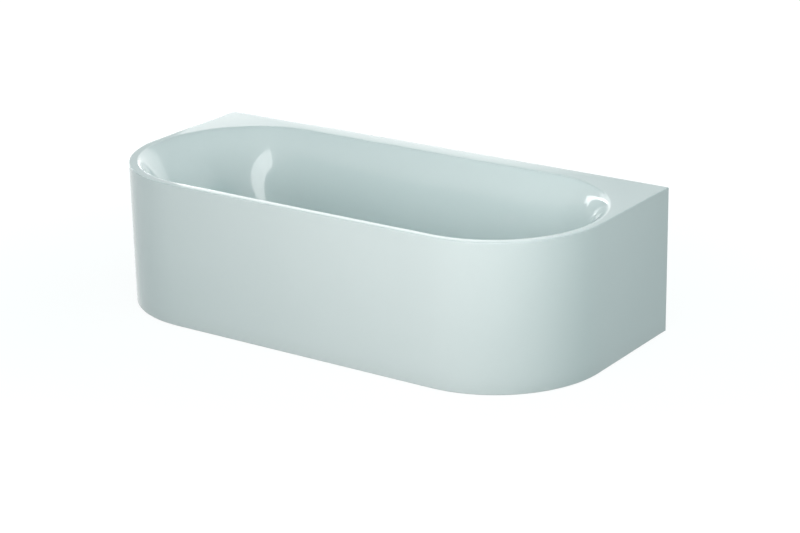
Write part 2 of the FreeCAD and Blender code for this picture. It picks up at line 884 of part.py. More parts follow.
def make_fasteners():
    tag_x = (size.bearer_spacing + size.bearer_width) / 2
    tag_y = bowl_y + bearer_length / 4
    hole_z = bearer_under - size.tag_drop / 2
    extents = (size.tag_sheet, size.tag_width, size.bearer_height / 2 + size.tag_drop)
    tag_plate = box("tag_plate", extents,
                    (tag_x, tag_y - size.tag_width / 2, bearer_under - size.tag_drop))
    tag_hole = cylinder("tag_hole", size.bolt_radius + size.slack, size.tag_sheet,
                        (tag_x, tag_y, hole_z), "right")
    node(cut("tag", tag_plate, [tag_hole]), "earth_tag")
    bolts = [bolt("earth_bolt", (tag_x - size.bolt_head, tag_y, hole_z), "right")]
    nuts = [nut("earth_nut", (tag_x + size.tag_sheet, tag_y, hole_z), "right")]
    head_z = bearer_under - size.stay_sheet - size.bolt_head
    for x, y in web_holes("front") + web_holes("end"):
        bolts.append(bolt(f"web_bolt_{len(bolts)}", (x, y, head_z), "up"))
        nuts.append(nut(f"web_nut_{len(nuts)}", (x, y, web_top), "up"))
    for x, y in foot_holes("front") + foot_holes("end"):
        bolts.append(foot_screw(f"foot_screw_{len(bolts)}", x, y))
    node(group("bolts", bolts), "stay_bolts")
    node(group("nuts", nuts), "stay_nuts")


# Waste fitting in the floor of the bowl
def make_waste():
    tube_end = flange_under - size.flange_drop
    body = new_body("flange", (0, waste_y, 0))
    revolve(body, "flange_profile", [
        (size.flange_bore, tube_end), (size.flange_tube, tube_end), (size.flange_tube, flange_under),
        (size.flange_radius, flange_under), (size.flange_radius, flange_under + size.flange_sheet / 2),
        (size.flange_radius - size.flange_sheet, flange_top), (size.flange_bore, flange_top)])
    guide_z = tube_end
    guide = cylinder("guide", size.guide_radius, size.guide_height, (0, waste_y, guide_z))
    reach = 2 * size.flange_bore + size.flange_sheet
    spokes = [box("spoke_x", (reach, size.spoke_width, size.guide_height),
                  (-reach / 2, waste_y - size.spoke_width / 2, guide_z)),
              box("spoke_y", (size.spoke_width, reach, size.guide_height),
                  (-size.spoke_width / 2, waste_y - reach / 2, guide_z))]
    guide_bore = cylinder("guide_bore", size.stem_radius + size.running_fit, size.guide_height,
                          (0, waste_y, guide_z))
    node(cut("strainer", fuse("strainer_blank", [body, guide, *spokes]), [guide_bore]), "waste_flange")
    upper = ring("upper_ring", size.flange_radius - size.flange_sheet, size.waste_hole,
                 size.upper_seal, (0, waste_y, recess_floor))
    node(upper, "waste_seal_upper")
    lower = ring("lower_ring", size.lower_seal_radius, size.waste_hole,
                 size.lower_seal, (0, waste_y, body_top))
    node(lower, "waste_seal_lower")

    plug = new_body("plug", (0, waste_y, 0))
    stem_end = lever_z - size.lever_arm * sine(lever_tilt) + size.lever_nose + size.cap_seat_gap
    boss_end = cap_under - size.plug_boss_height
    cap_top = cap_under + size.cap_height
    revolve(plug, "plug_profile", [
        (0, stem_end), (size.stem_radius, stem_end), (size.stem_radius, boss_end),
        (size.plug_boss, boss_end), (size.plug_boss, cap_under), (size.cap_radius, cap_under),
        (size.cap_radius, cap_under + size.cap_height / 2), (size.cap_radius - size.cap_height, cap_top),
        (0, cap_top)])
    node(plug, "popup_plug")
    seal = ring("plug_ring", size.plug_seal_radius, size.plug_boss, size.plug_seal_height,
                (0, waste_y, cap_under - size.plug_seal_height))
    node(seal, "plug_seal")


def make_waste_body():
    wall = size.chamber_wall
    flange_z = body_top - size.body_flange_height
    inner = size.chamber_radius - wall
    neck = size.flange_tube + size.running_fit
    tube_end = flange_under - size.flange_drop
    arm_y = ferrule_y - size.ferrule_length
    arm_x = size.crank_offset - 2 * size.ferrule_radius
    arm_width = 4 * size.ferrule_radius
    arm_length = size.ferrule_length + size.ferrule_distance
    post_under = wire_z - 2 * size.ferrule_radius
    solids = [
        cylinder("chamber", size.chamber_radius, size.chamber_height, (0, waste_y, body_under)),
        cylinder("chamber_flange", size.body_flange, size.body_flange_height, (0, waste_y, flange_z)),
        cylinder("overflow_inlet", size.inlet_radius, size.inlet_reach, (0, waste_y, inlet_z), "front"),
        cylinder("trap_outlet", size.outlet_radius, size.outlet_reach, (0, waste_y, outlet_z), "back"),
        cylinder("shaft_boss", size.lever_boss, size.lever_boss_reach, (0, lever_y, lever_z), "right"),
        box("cable_arm", (arm_width, arm_length, size.body_flange_height), (arm_x, arm_y, flange_z)),
        box("cable_post", (arm_width, size.ferrule_length / 2, body_top - post_under),
            (arm_x, arm_y, post_under)),
    ]
    bores = [
        cylinder("chamber_bore", inner, tube_end - body_under - wall, (0, waste_y, body_under + wall)),
        cylinder("neck_bore", neck, body_top - body_under - wall, (0, waste_y, body_under + wall)),
        cylinder("inlet_bore", size.spigot_bore, size.inlet_reach, (0, waste_y, inlet_z), "front"),
        cylinder("inlet_socket", hose_bore, size.inlet_depth,
                 (0, waste_y - size.inlet_reach + size.inlet_depth, inlet_z), "front"),
        cylinder("outlet_way", size.outlet_bore, size.outlet_reach, (0, waste_y, outlet_z), "back"),
        cylinder("shaft_bore", size.lever_shaft + size.running_fit, size.lever_boss_reach,
                 (0, lever_y, lever_z), "right"),
        cylinder("ferrule_bore", size.ferrule_radius, size.ferrule_length / 2,
                 (size.crank_offset, arm_y, wire_z), "back"),
    ]
    node(cut("waste_housing", fuse("waste_housing_blank", solids), bores), "waste_body")


# Lever that lifts the plug, turned by the pull wire on its outer crank
def pad_link(body, name, start_x, thickness, tip):
    """A flat link from the lever's shaft to a tip, with round ends."""
    tip_y, tip_z = tip
    nose = size.lever_nose
    side_y = tip_z / size.lever_arm * nose / 2
    side_z = tip_y / size.lever_arm * nose / 2
    bar = sketch_on(body, f"{name}_bar", "YZ_Plane", start_x)
    draw(bar, [(side_y, -side_z), (tip_y + side_y, tip_z - side_z),
               (tip_y - side_y, tip_z + side_z), (-side_y, side_z)])
    pad(body, bar, thickness)
    for end, centre in (("shaft", (0, 0)), ("tip", tip)):
        disc = sketch_on(body, f"{name}_{end}", "YZ_Plane", start_x)
        draw_circle(disc, centre, nose)
        pad(body, disc, thickness)


def make_lever():
    body = new_body("lever", (0, lever_y, lever_z))
    ahead = size.lever_arm * cosine(lever_tilt)
    aside = size.lever_arm * sine(lever_tilt)
    crank_end = size.crank_offset - size.wire_radius - size.slack
    shaft = sketch_on(body, "shaft", "YZ_Plane", -size.lever_width)
    draw_circle(shaft, (0, 0), size.lever_shaft)
    pad(body, shaft, crank_end + size.lever_width)
    pad_link(body, "lift", -size.lever_width / 2, size.lever_width, (ahead, -aside))
    pad_link(body, "crank", crank_end - size.crank_sheet, size.crank_sheet, (aside, ahead))
    pin = sketch_on(body, "crank_pin", "YZ_Plane", crank_end - size.crank_sheet)
    draw_circle(pin, (aside, ahead), size.crank_pin)
    pad(body, pin, size.crank_sheet + 4 * size.wire_radius)
    node(body, "lift_lever")
    seal = ring("shaft_ring", size.lever_boss - size.slack, size.lever_shaft + size.running_fit,
                size.shaft_seal, (size.lever_boss_reach, lever_y, lever_z), "right")
    node(seal, "lever_seal")


def make_cable():
    pin_y = lever_y + size.lever_arm * sine(lever_tilt)
    eye_x = size.crank_offset - size.wire_radius
    eye = ring("eye", size.wire_eye, size.crank_pin + 2 * size.slack * cosine(lever_tilt),
               2 * size.wire_radius, (eye_x, pin_y, wire_z - size.slack), "right")
    wire_start = ferrule_y - size.ferrule_length + size.lever_arm
    wire = cylinder("wire", size.wire_radius, pin_y - size.wire_eye - wire_start + size.slack,
                    (size.crank_offset, wire_start, wire_z - size.slack), "back")
    node(fuse("wire_and_eye", [eye, wire]), "pull_wire")
    at = (size.crank_offset, ferrule_y - size.ferrule_length, wire_z)
    sleeve = ring("end_sleeve", size.ferrule_radius, size.wire_radius + 2 * size.slack,
                  size.ferrule_length, at, "back")
    node(sleeve, "cable_ferrule")

    start = Vector(size.port_offset.value, hose_y.value, cup_z.value - size.cable_drop.value)
    end = Vector(at[0].value, at[1].value, at[2].value)
    bend = size.cable_bend.value
    straight = (start.z - end.z - bend) / 3
    route = [start, start - Vector(0, 0, straight), Vector(end.x, start.y, end.z + bend + straight / 2),
             Vector(end.x, start.y, end.z), end]
    path = rounded_wire(route, bend)
    profile = Part.Wire(Part.Circle(start, Vector(0, 0, 1), size.cable_radius.value).toShape())
    cable = doc.addObject("Part::Feature", "cable")
    cable.Shape = path.makePipeShell([profile], True, False)
    node(cable, "control_cable")
    clamp_under = hose_top - (size.cuff_lap + size.clamp_width) / 2
    clip_z = (clamp_under - size.slack - size.clip_height).value
    clips = [make_clip(f"clip_{number}", clip_z - number * straight / 3) for number in (0, 1)]
    node(group("clips", clips), "cable_clips")


def rounded_wire(points, largest):
    """Straight runs through the points, joined by tangent arcs no wider than the runs allow."""
    edges = []
    here = points[0]
    for before, corner, after in zip(points, points[1:], points[2:]):
        back = (before - corner).normalize()
        ahead = (after - corner).normalize()
        half_turn = (math.pi - back.getAngle(ahead)) / 2
        shorter = min((before - corner).Length, (after - corner).Length)
        reach = min(largest * math.tan(half_turn), RUN_SHARE * shorter)
        radius = reach / math.tan(half_turn)
        enter = corner + back * reach
        leave = corner + ahead * reach
        middle = corner + (back + ahead).normalize() * (radius / math.cos(half_turn) - radius)
        edges.append(Part.LineSegment(here, enter).toShape())
        edges.append(Part.Arc(enter, middle, leave).toShape())
        here = leave
        print("cable bend radius", round(radius, 1))
    edges.append(Part.LineSegment(here, points[-1]).toShape())
    return Part.Wire(edges)


def make_clip(name, z):
    """A clip that ties the cable to the hose."""
    inner = size.hose_radius + size.running_fit
    at = (0, hose_y, z)
    eye_at = (size.port_offset, hose_y, z)
    band = cylinder(f"{name}_band", inner + size.clip_wall, size.clip_height, at)
    eye = cylinder(f"{name}_eye", size.cable_radius + size.clip_wall, size.clip_height, eye_at)
    cable_way = size.cable_radius + size.running_fit
    ways = [cylinder(f"{name}_hose_way", inner, size.clip_height, at),
            cylinder(f"{name}_cable_way", cable_way, size.clip_height, eye_at)]
    return cut(name, fuse(f"{name}_blank", [band, eye]), ways)


# Overflow behind the front wall of the bowl, with its turning knob
def seat_cylinder(name, radius, low, high, x=0):
    """A round piece along the overflow's axis, between two distances from its seat."""
    return cylinder(name, radius, high - low, from_seat(low, x), "inward")


def make_overflow():
    wall = size.cup_wall
    seal = ring("seat_ring", size.overflow_seal_radius, size.overflow_hole, size.overflow_seal,
                from_seat(cup_front), "inward")
    node(seal, "overflow_seal")
    port_at = (size.port_offset, hose_y, cup_z - size.cable_drop)
    solids = [seat_cylinder("cup", size.cup_radius, cup_back, cup_front),
              seat_cylinder("cup_flange", size.cup_flange, cup_front - size.cup_flange_height, cup_front),
              cylinder("spigot", size.spigot_radius, size.spigot_drop, (0, hose_y, spigot_end)),
              cylinder("cable_port", size.port_radius, size.cable_drop, port_at)]
    bores = [seat_cylinder("cup_bore", size.cup_radius - wall, cup_back + wall, cup_front),
             cylinder("spigot_way", size.spigot_bore, size.spigot_drop, (0, hose_y, spigot_end))]
    hollow = cut("cup_hollow", fuse("cup_blank", solids), bores)

    tip = size.plate_sheet - size.screw_length
    way = size.screw_radius + size.running_fit
    rim = ring("plate_rim", size.plate_radius, size.plate_radius - size.plate_ring, size.plate_sheet,
               from_seat(0), "inward")
    bar_length = 2 * size.plate_radius - size.plate_ring
    bar = box("plate_bar", (bar_length, size.plate_bar, size.plate_sheet),
              (-bar_length / 2, seat_y - size.plate_bar / 2 * sine(tilt),
               overflow_z + size.plate_bar / 2 * cosine(tilt)), "inward")
    pillars = []
    pillar_bores = []
    spindle_way = size.spindle_radius + size.running_fit
    plate_holes = [seat_cylinder("spindle_way", spindle_way, 0, size.plate_sheet)]
    screws = []
    for side, name in ((-1, "left"), (1, "right")):
        x = side * size.pillar_offset
        head_top = size.plate_sheet + size.screw_head_height
        pillars.append(seat_cylinder(f"pillar_{name}", size.pillar_radius, cup_back + wall / 2, 0, x))
        pillar_bores.append(seat_cylinder(f"pillar_bore_{name}", way, tip - wall, 0, x))
        plate_holes.append(seat_cylinder(f"plate_hole_{name}", way, 0, size.plate_sheet, x))
        shank = seat_cylinder(f"shank_{name}", size.screw_radius, tip, size.plate_sheet, x)
        head = seat_cylinder(f"head_{name}", size.screw_head, size.plate_sheet, head_top, x)
        screws.append(fuse(f"screw_{name}", [shank, head]))
    housing = fuse("overflow_housing_blank", [hollow, *pillars])
    node(cut("overflow_housing", housing, pillar_bores), "overflow_body")
    node(cut("carrier", fuse("carrier_blank", [rim, bar]), plate_holes), "overflow_plate")
    node(group("carrier_screws", screws), "overflow_screws")


def make_knob():
    knob = new_body("knob", from_seat(0), "inward")
    low = size.knob_lift
    high = low + size.knob_height
    roof = high - size.knob_wall
    bore = size.spindle_radius + size.running_fit / 5
    bore_end = roof - size.slack
    inner = size.knob_radius - size.knob_wall
    boss_end = low + size.knob_bevel
    revolve(knob, "knob_profile", [
        (bore, boss_end), (size.knob_boss, boss_end), (size.knob_boss, roof), (inner, roof),
        (inner, low), (size.knob_radius, low), (size.knob_radius, high - size.knob_bevel),
        (size.knob_radius - size.knob_bevel, high), (0, high), (0, bore_end), (bore, bore_end)])
    notch = sketch_on(knob, "grip_notch", "XY_Plane", high)
    draw_circle(notch, (size.knob_radius + size.notch_radius - size.knob_wall / 2, 0), size.notch_radius)
    notch_cut = pocket(knob, notch, size.knob_height)
    pattern = knob.newObject("PartDesign::PolarPattern", "grip_notches")
    pattern.Originals = [notch_cut]
    pattern.Axis = (notch, ["N_Axis"])
    pattern.Angle = 360
    bind(pattern, "Occurrences", size.notch_count)
    knob.Tip = pattern
    node(knob, "overflow_knob")
    spindle = new_body("spindle", from_seat(0), "inward")
    drum_end = cup_back + size.cup_wall + size.knob_bevel
    drum_front = drum_end + size.drum_height
    revolve(spindle, "spindle_profile", [
        (0, drum_end), (size.drum_radius, drum_end), (size.drum_radius, drum_front),
        (size.spindle_radius, drum_front), (size.spindle_radius, bore_end), (0, bore_end)])
    node(spindle, "knob_spindle")


# Ribbed hose from the overflow, its clamps, and the elbow into the waste body
def make_hose():
    body = new_body("hose", (0, hose_y, 0))
    lap = size.cuff_lap
    cuff = size.cuff_length
    revolve(body, "hose_profile", [
        (hose_bore, hose_bottom), (size.hose_radius, hose_bottom),
        (size.hose_radius, hose_bottom + cuff),
        (size.hose_groove, hose_bottom + cuff), (size.hose_groove, hose_top - cuff),
        (size.hose_radius, hose_top - cuff), (size.hose_radius, hose_top), (hose_bore, hose_top),
        (hose_bore, hose_top - lap), (size.spigot_bore, hose_top - lap),
        (size.spigot_bore, hose_bottom + lap), (hose_bore, hose_bottom + lap)])
    ribbed = hose_top - hose_bottom - 2 * cuff
    pitch = ribbed / (size.rib_count + 1)
    first = hose_bottom + cuff + pitch - size.rib_width / 2
    wall_middle = (size.spigot_bore + size.hose_groove) / 2
    rib = revolve(body, "rib_profile", [
        (wall_middle, first), (size.hose_groove, first), (size.hose_radius, first + size.rib_width / 4),
        (size.hose_radius, first + size.rib_width * 3 / 4), (size.hose_groove, first + size.rib_width),
        (wall_middle, first + size.rib_width)])
    pattern = body.newObject("PartDesign::LinearPattern", "ribs")
    pattern.Originals = [rib]
    pattern.Direction = (doc.getObject("rib_profile"), ["V_Axis"])
    bind(pattern, "Length", pitch * (size.rib_count - 1))
    bind(pattern, "Occurrences", size.rib_count)
    body.Tip = pattern
    node(body, "overflow_hose")


def make_clamps():
    width = size.clamp_width
    inner = size.hose_radius + size.running_fit
    outer = inner + size.clamp_sheet
    middles = {"upper": hose_top - size.cuff_lap / 2, "lower": hose_bottom + size.cuff_lap / 2}
    clamps = []
    for name, middle in middles.items():
        low = middle - width / 2
        band = cylinder(f"clamp_{name}_band", outer, width, (0, hose_y, low))
        corner = (-width - outer * QUARTER, hose_y - outer * QUARTER - width / 2, low)
        housing = box(f"clamp_{name}_housing", (width, width, width), corner)
        way = cylinder(f"clamp_{name}_way", inner, width, (0, hose_y, low))
        clamps.append(cut(f"clamp_{name}", fuse(f"clamp_{name}_blank", [band, housing]), [way]))
    node(group("clamps", clamps), "hose_clamps")


def elbow_tube(name, radius):
    """An upright leg, a quarter bend and a level leg of one radius."""
    centre_y = hose_y + size.elbow_radius
    centre_z = inlet_z + size.elbow_radius
    leg_end = waste_y - size.inlet_reach + size.inlet_depth
    body = new_body(f"{name}_body")
    path = sketch_on(body, f"{name}_path", "YZ_Plane")
    upright = path.addGeometry(Part.LineSegment(
        Vector(hose_y.value, elbow_top.value, 0), Vector(hose_y.value, centre_z.value, 0)), False)
    centre = Vector(centre_y.value, centre_z.value, 0)
    middle = centre - Vector(1, 1, 0).normalize() * size.elbow_radius.value
    bend = path.addGeometry(Part.Arc(Vector(hose_y.value, centre_z.value, 0), middle,
                                     Vector(centre_y.value, inlet_z.value, 0)), False)
    level = path.addGeometry(Part.LineSegment(
        Vector(centre_y.value, inlet_z.value, 0), Vector(leg_end.value, inlet_z.value, 0)), False)
    fix_point(path, upright, 1, (hose_y, elbow_top))
    fix_point(path, upright, 2, (hose_y, centre_z))
    fix_point(path, bend, 1, (hose_y, centre_z))
    fix_point(path, bend, 2, (centre_y, inlet_z))
    fix_radius(path, bend, size.elbow_radius)
    fix_point(path, level, 1, (centre_y, inlet_z))
    fix_point(path, level, 2, (leg_end, inlet_z))
    section = sketch_on(body, f"{name}_section", "XY_Plane", elbow_top)
    draw_circle(section, (0, hose_y), radius)
    pipe = body.newObject("PartDesign::AdditivePipe", f"{name}_pipe")
    pipe.Profile = section
    pipe.Spine = (path, [])
    return body


def make_elbow():
    outside = elbow_tube("bend_outside", size.spigot_radius)
    inside = elbow_tube("bend_inside", size.spigot_bore)
    node(cut("bend", outside, [inside]), "overflow_elbow")


# Drum trap with its union, cleaning cap and outlet pipe
def make_trap():
    wall = size.trap_wall
    inner = size.trap_radius - wall
    neck_reach = trap_y - trap_inlet_y
    socket_reach = socket_y - trap_y
    pipe_bore = size.pipe_radius - size.pipe_wall
    solids = [cylinder("drum", size.trap_radius, size.trap_height, (0, trap_y, trap_under)),
              cylinder("drum_inlet", size.outlet_radius, neck_reach, (0, trap_y, outlet_z), "front"),
              cylinder("drum_socket", size.socket_radius, socket_reach, (0, trap_y, pipe_z), "back")]
    bores = [cylinder("drum_bore", inner, size.trap_height, (0, trap_y, trap_under + wall)),
             cylinder("drum_inlet_way", size.outlet_bore, neck_reach, (0, trap_y, outlet_z), "front"),
             cylinder("drum_outlet_way", pipe_bore, socket_reach, (0, trap_y, pipe_z), "back"),
             cylinder("drum_socket_bore", size.pipe_radius + size.running_fit, size.socket_depth,
                      (0, socket_y - size.socket_depth, pipe_z), "back")]
    node(cut("trap", fuse("trap_blank", solids), bores), "trap_drum")

    seal_at = (0, trap_y, trap_top)
    node(ring("cap_ring", size.trap_radius, inner, size.trap_cap_seal, seal_at), "trap_cap_seal")
    cap_z = trap_top + size.trap_cap_seal
    lugs = [cylinder("cap_disc", size.trap_cap, size.trap_cap_height, (0, trap_y, cap_z)),
            cylinder("cap_plug", inner - size.slack, size.trap_cap_seal + size.trap_cap_height,
                     (0, trap_y, trap_top - size.trap_cap_height))]
    for number in range(int(SIZES["lug_count"])):
        turn = 2 * math.pi * number / SIZES["lug_count"]
        at = (size.trap_cap * math.cos(turn), trap_y + size.trap_cap * math.sin(turn), cap_z)
        lugs.append(cylinder(f"cap_lug_{number}", size.trap_lug, size.trap_cap_height, at))
    node(fuse("cap", lugs), "trap_cap")


def make_outlet():
    seal_y = waste_y + size.outlet_reach
    seal = ring("union_ring", size.outlet_radius, size.outlet_bore, size.union_seal,
                (0, seal_y, outlet_z), "back")
    node(seal, "union_seal")
    nut_y = seal_y + size.union_seal / 2 - size.union_length / 2
    blank = prism("union_blank", 8, size.union_radius, size.union_length, (0, nut_y, outlet_z), "back")
    thread = cylinder("union_thread", size.outlet_radius + size.running_fit, size.union_length,
                      (0, nut_y, outlet_z), "back")
    node(cut("union", blank, [thread]), "union_nut")

    pipe_start = socket_y - size.socket_depth
    pipe_end = back_y - size.pipe_setback
    body = new_body("pipe", (0, 0, pipe_z), "back")
    shoulder = pipe_end - size.pipe_spigot_length
    pipe_bore = size.pipe_radius - size.pipe_wall
    revolve(body, "pipe_profile", [
        (pipe_bore, pipe_start), (size.pipe_radius, pipe_start), (size.pipe_radius, shoulder),
        (size.pipe_spigot, shoulder), (size.pipe_spigot, pipe_end), (pipe_bore, pipe_end)])
    node(body, "outlet_pipe")
    socket_seal = ring("socket_ring", size.socket_radius, size.pipe_radius + size.running_fit,
                       size.outlet_seal, (0, socket_y, pipe_z), "back")
    node(socket_seal, "outlet_seal")


def make_all():
    make_shell()
    make_apron()
    make_bearers()
    make_pads()
    make_mats()
    make_feet()
    make_stays()
    make_anchors()
    make_fasteners()
    make_waste()
    make_waste_body()
    make_lever()
    make_cable()
    make_overflow()
    make_knob()
    make_hose()
    make_clamps()
    make_elbow()
    make_trap()
    make_outlet()


def check_all():
    """Stops with the names of whatever failed, before anything is written."""
    faults = [item.Name for item in doc.Objects if "Invalid" in item.State or "Error" in item.State]
    for item in NODES:
        if item.Shape.isNull() or not item.Shape.isValid() or not item.Shape.Solids:
            faults.append(item.Label)
    if faults:
        raise RuntimeError("failed pieces: " + ", ".join(faults))


make_all()
doc.recompute()
check_all()
os.makedirs("parts", exist_ok=True)
for item in NODES:
    item.Shape.exportStep(f"parts/{item.Label}.step")
print(len(NODES), "nodes written")
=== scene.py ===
"""Looks of a back-to-wall bath: an oval bowl in a D-shaped enamelled deck and apron, on feet."""

import math

import bmesh
import bpy
import numpy as np
from mathutils import Matrix, Vector


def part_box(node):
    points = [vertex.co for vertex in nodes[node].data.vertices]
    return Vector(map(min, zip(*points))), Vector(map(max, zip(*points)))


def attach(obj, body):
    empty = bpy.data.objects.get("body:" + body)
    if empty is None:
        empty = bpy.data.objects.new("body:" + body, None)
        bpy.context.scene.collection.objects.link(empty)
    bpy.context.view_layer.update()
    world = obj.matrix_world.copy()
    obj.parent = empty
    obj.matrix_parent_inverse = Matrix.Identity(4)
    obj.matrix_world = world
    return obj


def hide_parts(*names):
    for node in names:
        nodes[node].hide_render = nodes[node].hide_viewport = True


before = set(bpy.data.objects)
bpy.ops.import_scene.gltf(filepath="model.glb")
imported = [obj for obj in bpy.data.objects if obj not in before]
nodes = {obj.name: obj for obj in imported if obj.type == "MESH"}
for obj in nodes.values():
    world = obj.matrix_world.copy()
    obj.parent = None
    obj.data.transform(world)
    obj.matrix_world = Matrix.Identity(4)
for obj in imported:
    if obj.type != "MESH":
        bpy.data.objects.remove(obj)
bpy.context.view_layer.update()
scene = bpy.context.scene


# Camera at the photograph's viewing angle
RIGHT = Vector((0.8223, 0.5687, -0.0185))
UP = Vector((-0.1749, 0.2837, 0.9428))
FORWARD = Vector((-0.5414, 0.7721, -0.3328))
CAMERA_PLACE = (4.3176, -5.9827, 2.7922)
SENSOR_WIDTH = 36.0
LENS = 101.81
CLIP_END = 200.0


def make_camera():
    data = bpy.data.cameras.new("camera")
    data.sensor_fit = "HORIZONTAL"
    data.sensor_width = SENSOR_WIDTH
    data.lens = LENS
    data.clip_end = CLIP_END
    camera = bpy.data.objects.new("camera", data)
    scene.collection.objects.link(camera)
    turn = Matrix((RIGHT, UP, -FORWARD)).transposed().to_4x4()
    camera.matrix_world = Matrix.Translation(CAMERA_PLACE) @ turn
    scene.camera = camera


# Shader helpers
NOISE_RANGE = (0.3, 0.7)


def new_material(name):
    material = bpy.data.materials.new(name)
    material.use_nodes = True
    tree = material.node_tree
    return material, tree, tree.nodes["Principled BSDF"]


def add_noise(tree, scale, detail=3.0):
    place = tree.nodes.new("ShaderNodeTexCoord")
    noise = tree.nodes.new("ShaderNodeTexNoise")
    noise.inputs["Scale"].default_value = scale
    noise.inputs["Detail"].default_value = detail
    tree.links.new(place.outputs["Object"], noise.inputs["Vector"])
    return noise.outputs["Fac"]


def add_range(tree, driver, source, target, way="LINEAR"):
    """Maps a driver from the source pair of values to the target pair."""
    spread = tree.nodes.new("ShaderNodeMapRange")
    spread.interpolation_type = way
    for word, (low, high) in (("From", source), ("To", target)):
        spread.inputs[f"{word} Min"].default_value = low
        spread.inputs[f"{word} Max"].default_value = high
    tree.links.new(driver, spread.inputs["Value"])
    return spread.outputs["Result"]


def add_math(tree, operation, first, second):
    node = tree.nodes.new("ShaderNodeMath")
    node.operation = operation
    tree.links.new(first, node.inputs[0])
    tree.links.new(second, node.inputs[1])
    return node.outputs["Value"]


def add_colours(tree, shader, driver, dark, light, low=NOISE_RANGE[0], high=NOISE_RANGE[1]):
    ramp = tree.nodes.new("ShaderNodeValToRGB")
    ramp.color_ramp.elements[0].position = low
    ramp.color_ramp.elements[0].color = (*dark, 1)
    ramp.color_ramp.elements[1].position = high
    ramp.color_ramp.elements[1].color = (*light, 1)
    tree.links.new(driver, ramp.inputs["Fac"])
    tree.links.new(ramp.outputs["Color"], shader.inputs["Base Color"])


def add_roughness(tree, shader, driver, smooth, rough):
    spread = add_range(tree, driver, NOISE_RANGE, (smooth, rough))
    tree.links.new(spread, shader.inputs["Roughness"])


def add_bump(tree, shader, driver, strength, distance):
    bump = tree.nodes.new("ShaderNodeBump")
    bump.inputs["Strength"].default_value = strength
    bump.inputs["Distance"].default_value = distance
    tree.links.new(driver, bump.inputs["Height"])
    tree.links.new(bump.outputs["Normal"], shader.inputs["Normal"])


# Procedural materials
def make_enamel():
    material, tree, shader = new_material("white_enamel")
    clouds = add_noise(tree, 2.5, 4.0)
    add_colours(tree, shader, clouds, (0.79, 0.822, 0.818), (0.81, 0.84, 0.836))
    add_roughness(tree, shader, add_noise(tree, 7.0), 0.055, 0.085)
    add_bump(tree, shader, add_noise(tree, 70.0, 1.0), 0.05, 0.0004)
    shader.inputs["IOR"].default_value = 1.52
    shader.inputs["Coat Weight"].default_value = 0.25
    shader.inputs["Coat Roughness"].default_value = 0.06
    return material


def make_zinc():
    material, tree, shader = new_material("zinc_steel")
    place = tree.nodes.new("ShaderNodeTexCoord")
    spangle = tree.nodes.new("ShaderNodeTexVoronoi")
    spangle.inputs["Scale"].default_value = 140.0
    tree.links.new(place.outputs["Object"], spangle.inputs["Vector"])
    grey = tree.nodes.new("ShaderNodeRGBToBW")
    tree.links.new(spangle.outputs["Color"], grey.inputs["Color"])
    add_colours(tree, shader, grey.outputs["Val"], (0.50, 0.52, 0.54), (0.66, 0.68, 0.69), 0.2, 0.8)
    add_roughness(tree, shader, add_noise(tree, 60.0), 0.34, 0.52)
    add_bump(tree, shader, add_noise(tree, 500.0), 0.12, 0.0002)
    shader.inputs["Metallic"].default_value = 1.0
    return material


def make_metal(name, dark, light, smooth, rough, grain):
    material, tree, shader = new_material(name)
    add_colours(tree, shader, add_noise(tree, 25.0, 4.0), dark, light)
    add_roughness(tree, shader, add_noise(tree, 240.0), smooth, rough)
    add_bump(tree, shader, add_noise(tree, 900.0, 2.0), grain, 0.0001)
    shader.inputs["Metallic"].default_value = 1.0
    return material


def make_moulded(name, dark, light, smooth, rough, grain_scale, grain, depth):
    material, tree, shader = new_material(name)
    add_colours(tree, shader, add_noise(tree, 18.0, 5.0), dark, light)
    add_roughness(tree, shader, add_noise(tree, 90.0), smooth, rough)
    add_bump(tree, shader, add_noise(tree, grain_scale, 4.0), grain, depth)
    return material


MATERIALS = {
    "white_enamel": make_enamel(),
    "zinc_steel": make_zinc(),
    "chrome": make_metal("chrome", (0.70, 0.71, 0.73), (0.80, 0.81, 0.82), 0.05, 0.11, 0.02),
    "brass": make_metal("brass", (0.58, 0.42, 0.19), (0.70, 0.53, 0.27), 0.22, 0.36, 0.10),
    "black_plastic": make_moulded("black_plastic", (0.014, 0.014, 0.016), (0.024, 0.024, 0.027),
                                  0.36, 0.52, 700.0, 0.18, 0.0002),
    "white_plastic": make_moulded("white_plastic", (0.66, 0.67, 0.65), (0.74, 0.74, 0.72),
                                  0.30, 0.44, 600.0, 0.12, 0.0002),
    "grey_plastic": make_moulded("grey_plastic", (0.25, 0.26, 0.27), (0.33, 0.34, 0.35),
                                 0.36, 0.50, 600.0, 0.15, 0.0002),
    "seal_rubber": make_moulded("seal_rubber", (0.012, 0.012, 0.013), (0.024, 0.023, 0.023),
                                0.62, 0.82, 400.0, 0.30, 0.0003),
    "bitumen": make_moulded("bitumen", (0.020, 0.019, 0.018), (0.042, 0.040, 0.037),
                            0.78, 0.95, 160.0, 0.60, 0.0010),
}


# Mesh helpers
MM = 1000  # millimetres in a metre
SMOOTH_ANGLE = 35.0
WELD = 1e-6


def new_object(name, data, slot, body, *replaced):
    item = bpy.data.objects.new(name, data)
    scene.collection.objects.link(item)
    data.materials.append(MATERIALS[slot])
    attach(item, body)
    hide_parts(*replaced)
    return item


def shade(mesh, angle):
    mesh.shade_smooth()
    mesh.set_sharp_from_angle(angle=math.radians(angle))


def add_rows(form, rows, closed=True):
    """Skins rows of points that all have the same count, and returns their vertices."""
    made = [[form.verts.new(point) for point in row] for row in rows]
    count = len(made[0])
    last = count if closed else count - 1
    for low, high in zip(made, made[1:]):
        for index in range(last):
            after = (index + 1) % count
            form.faces.new((low[index], low[after], high[after], high[index]))
    return made


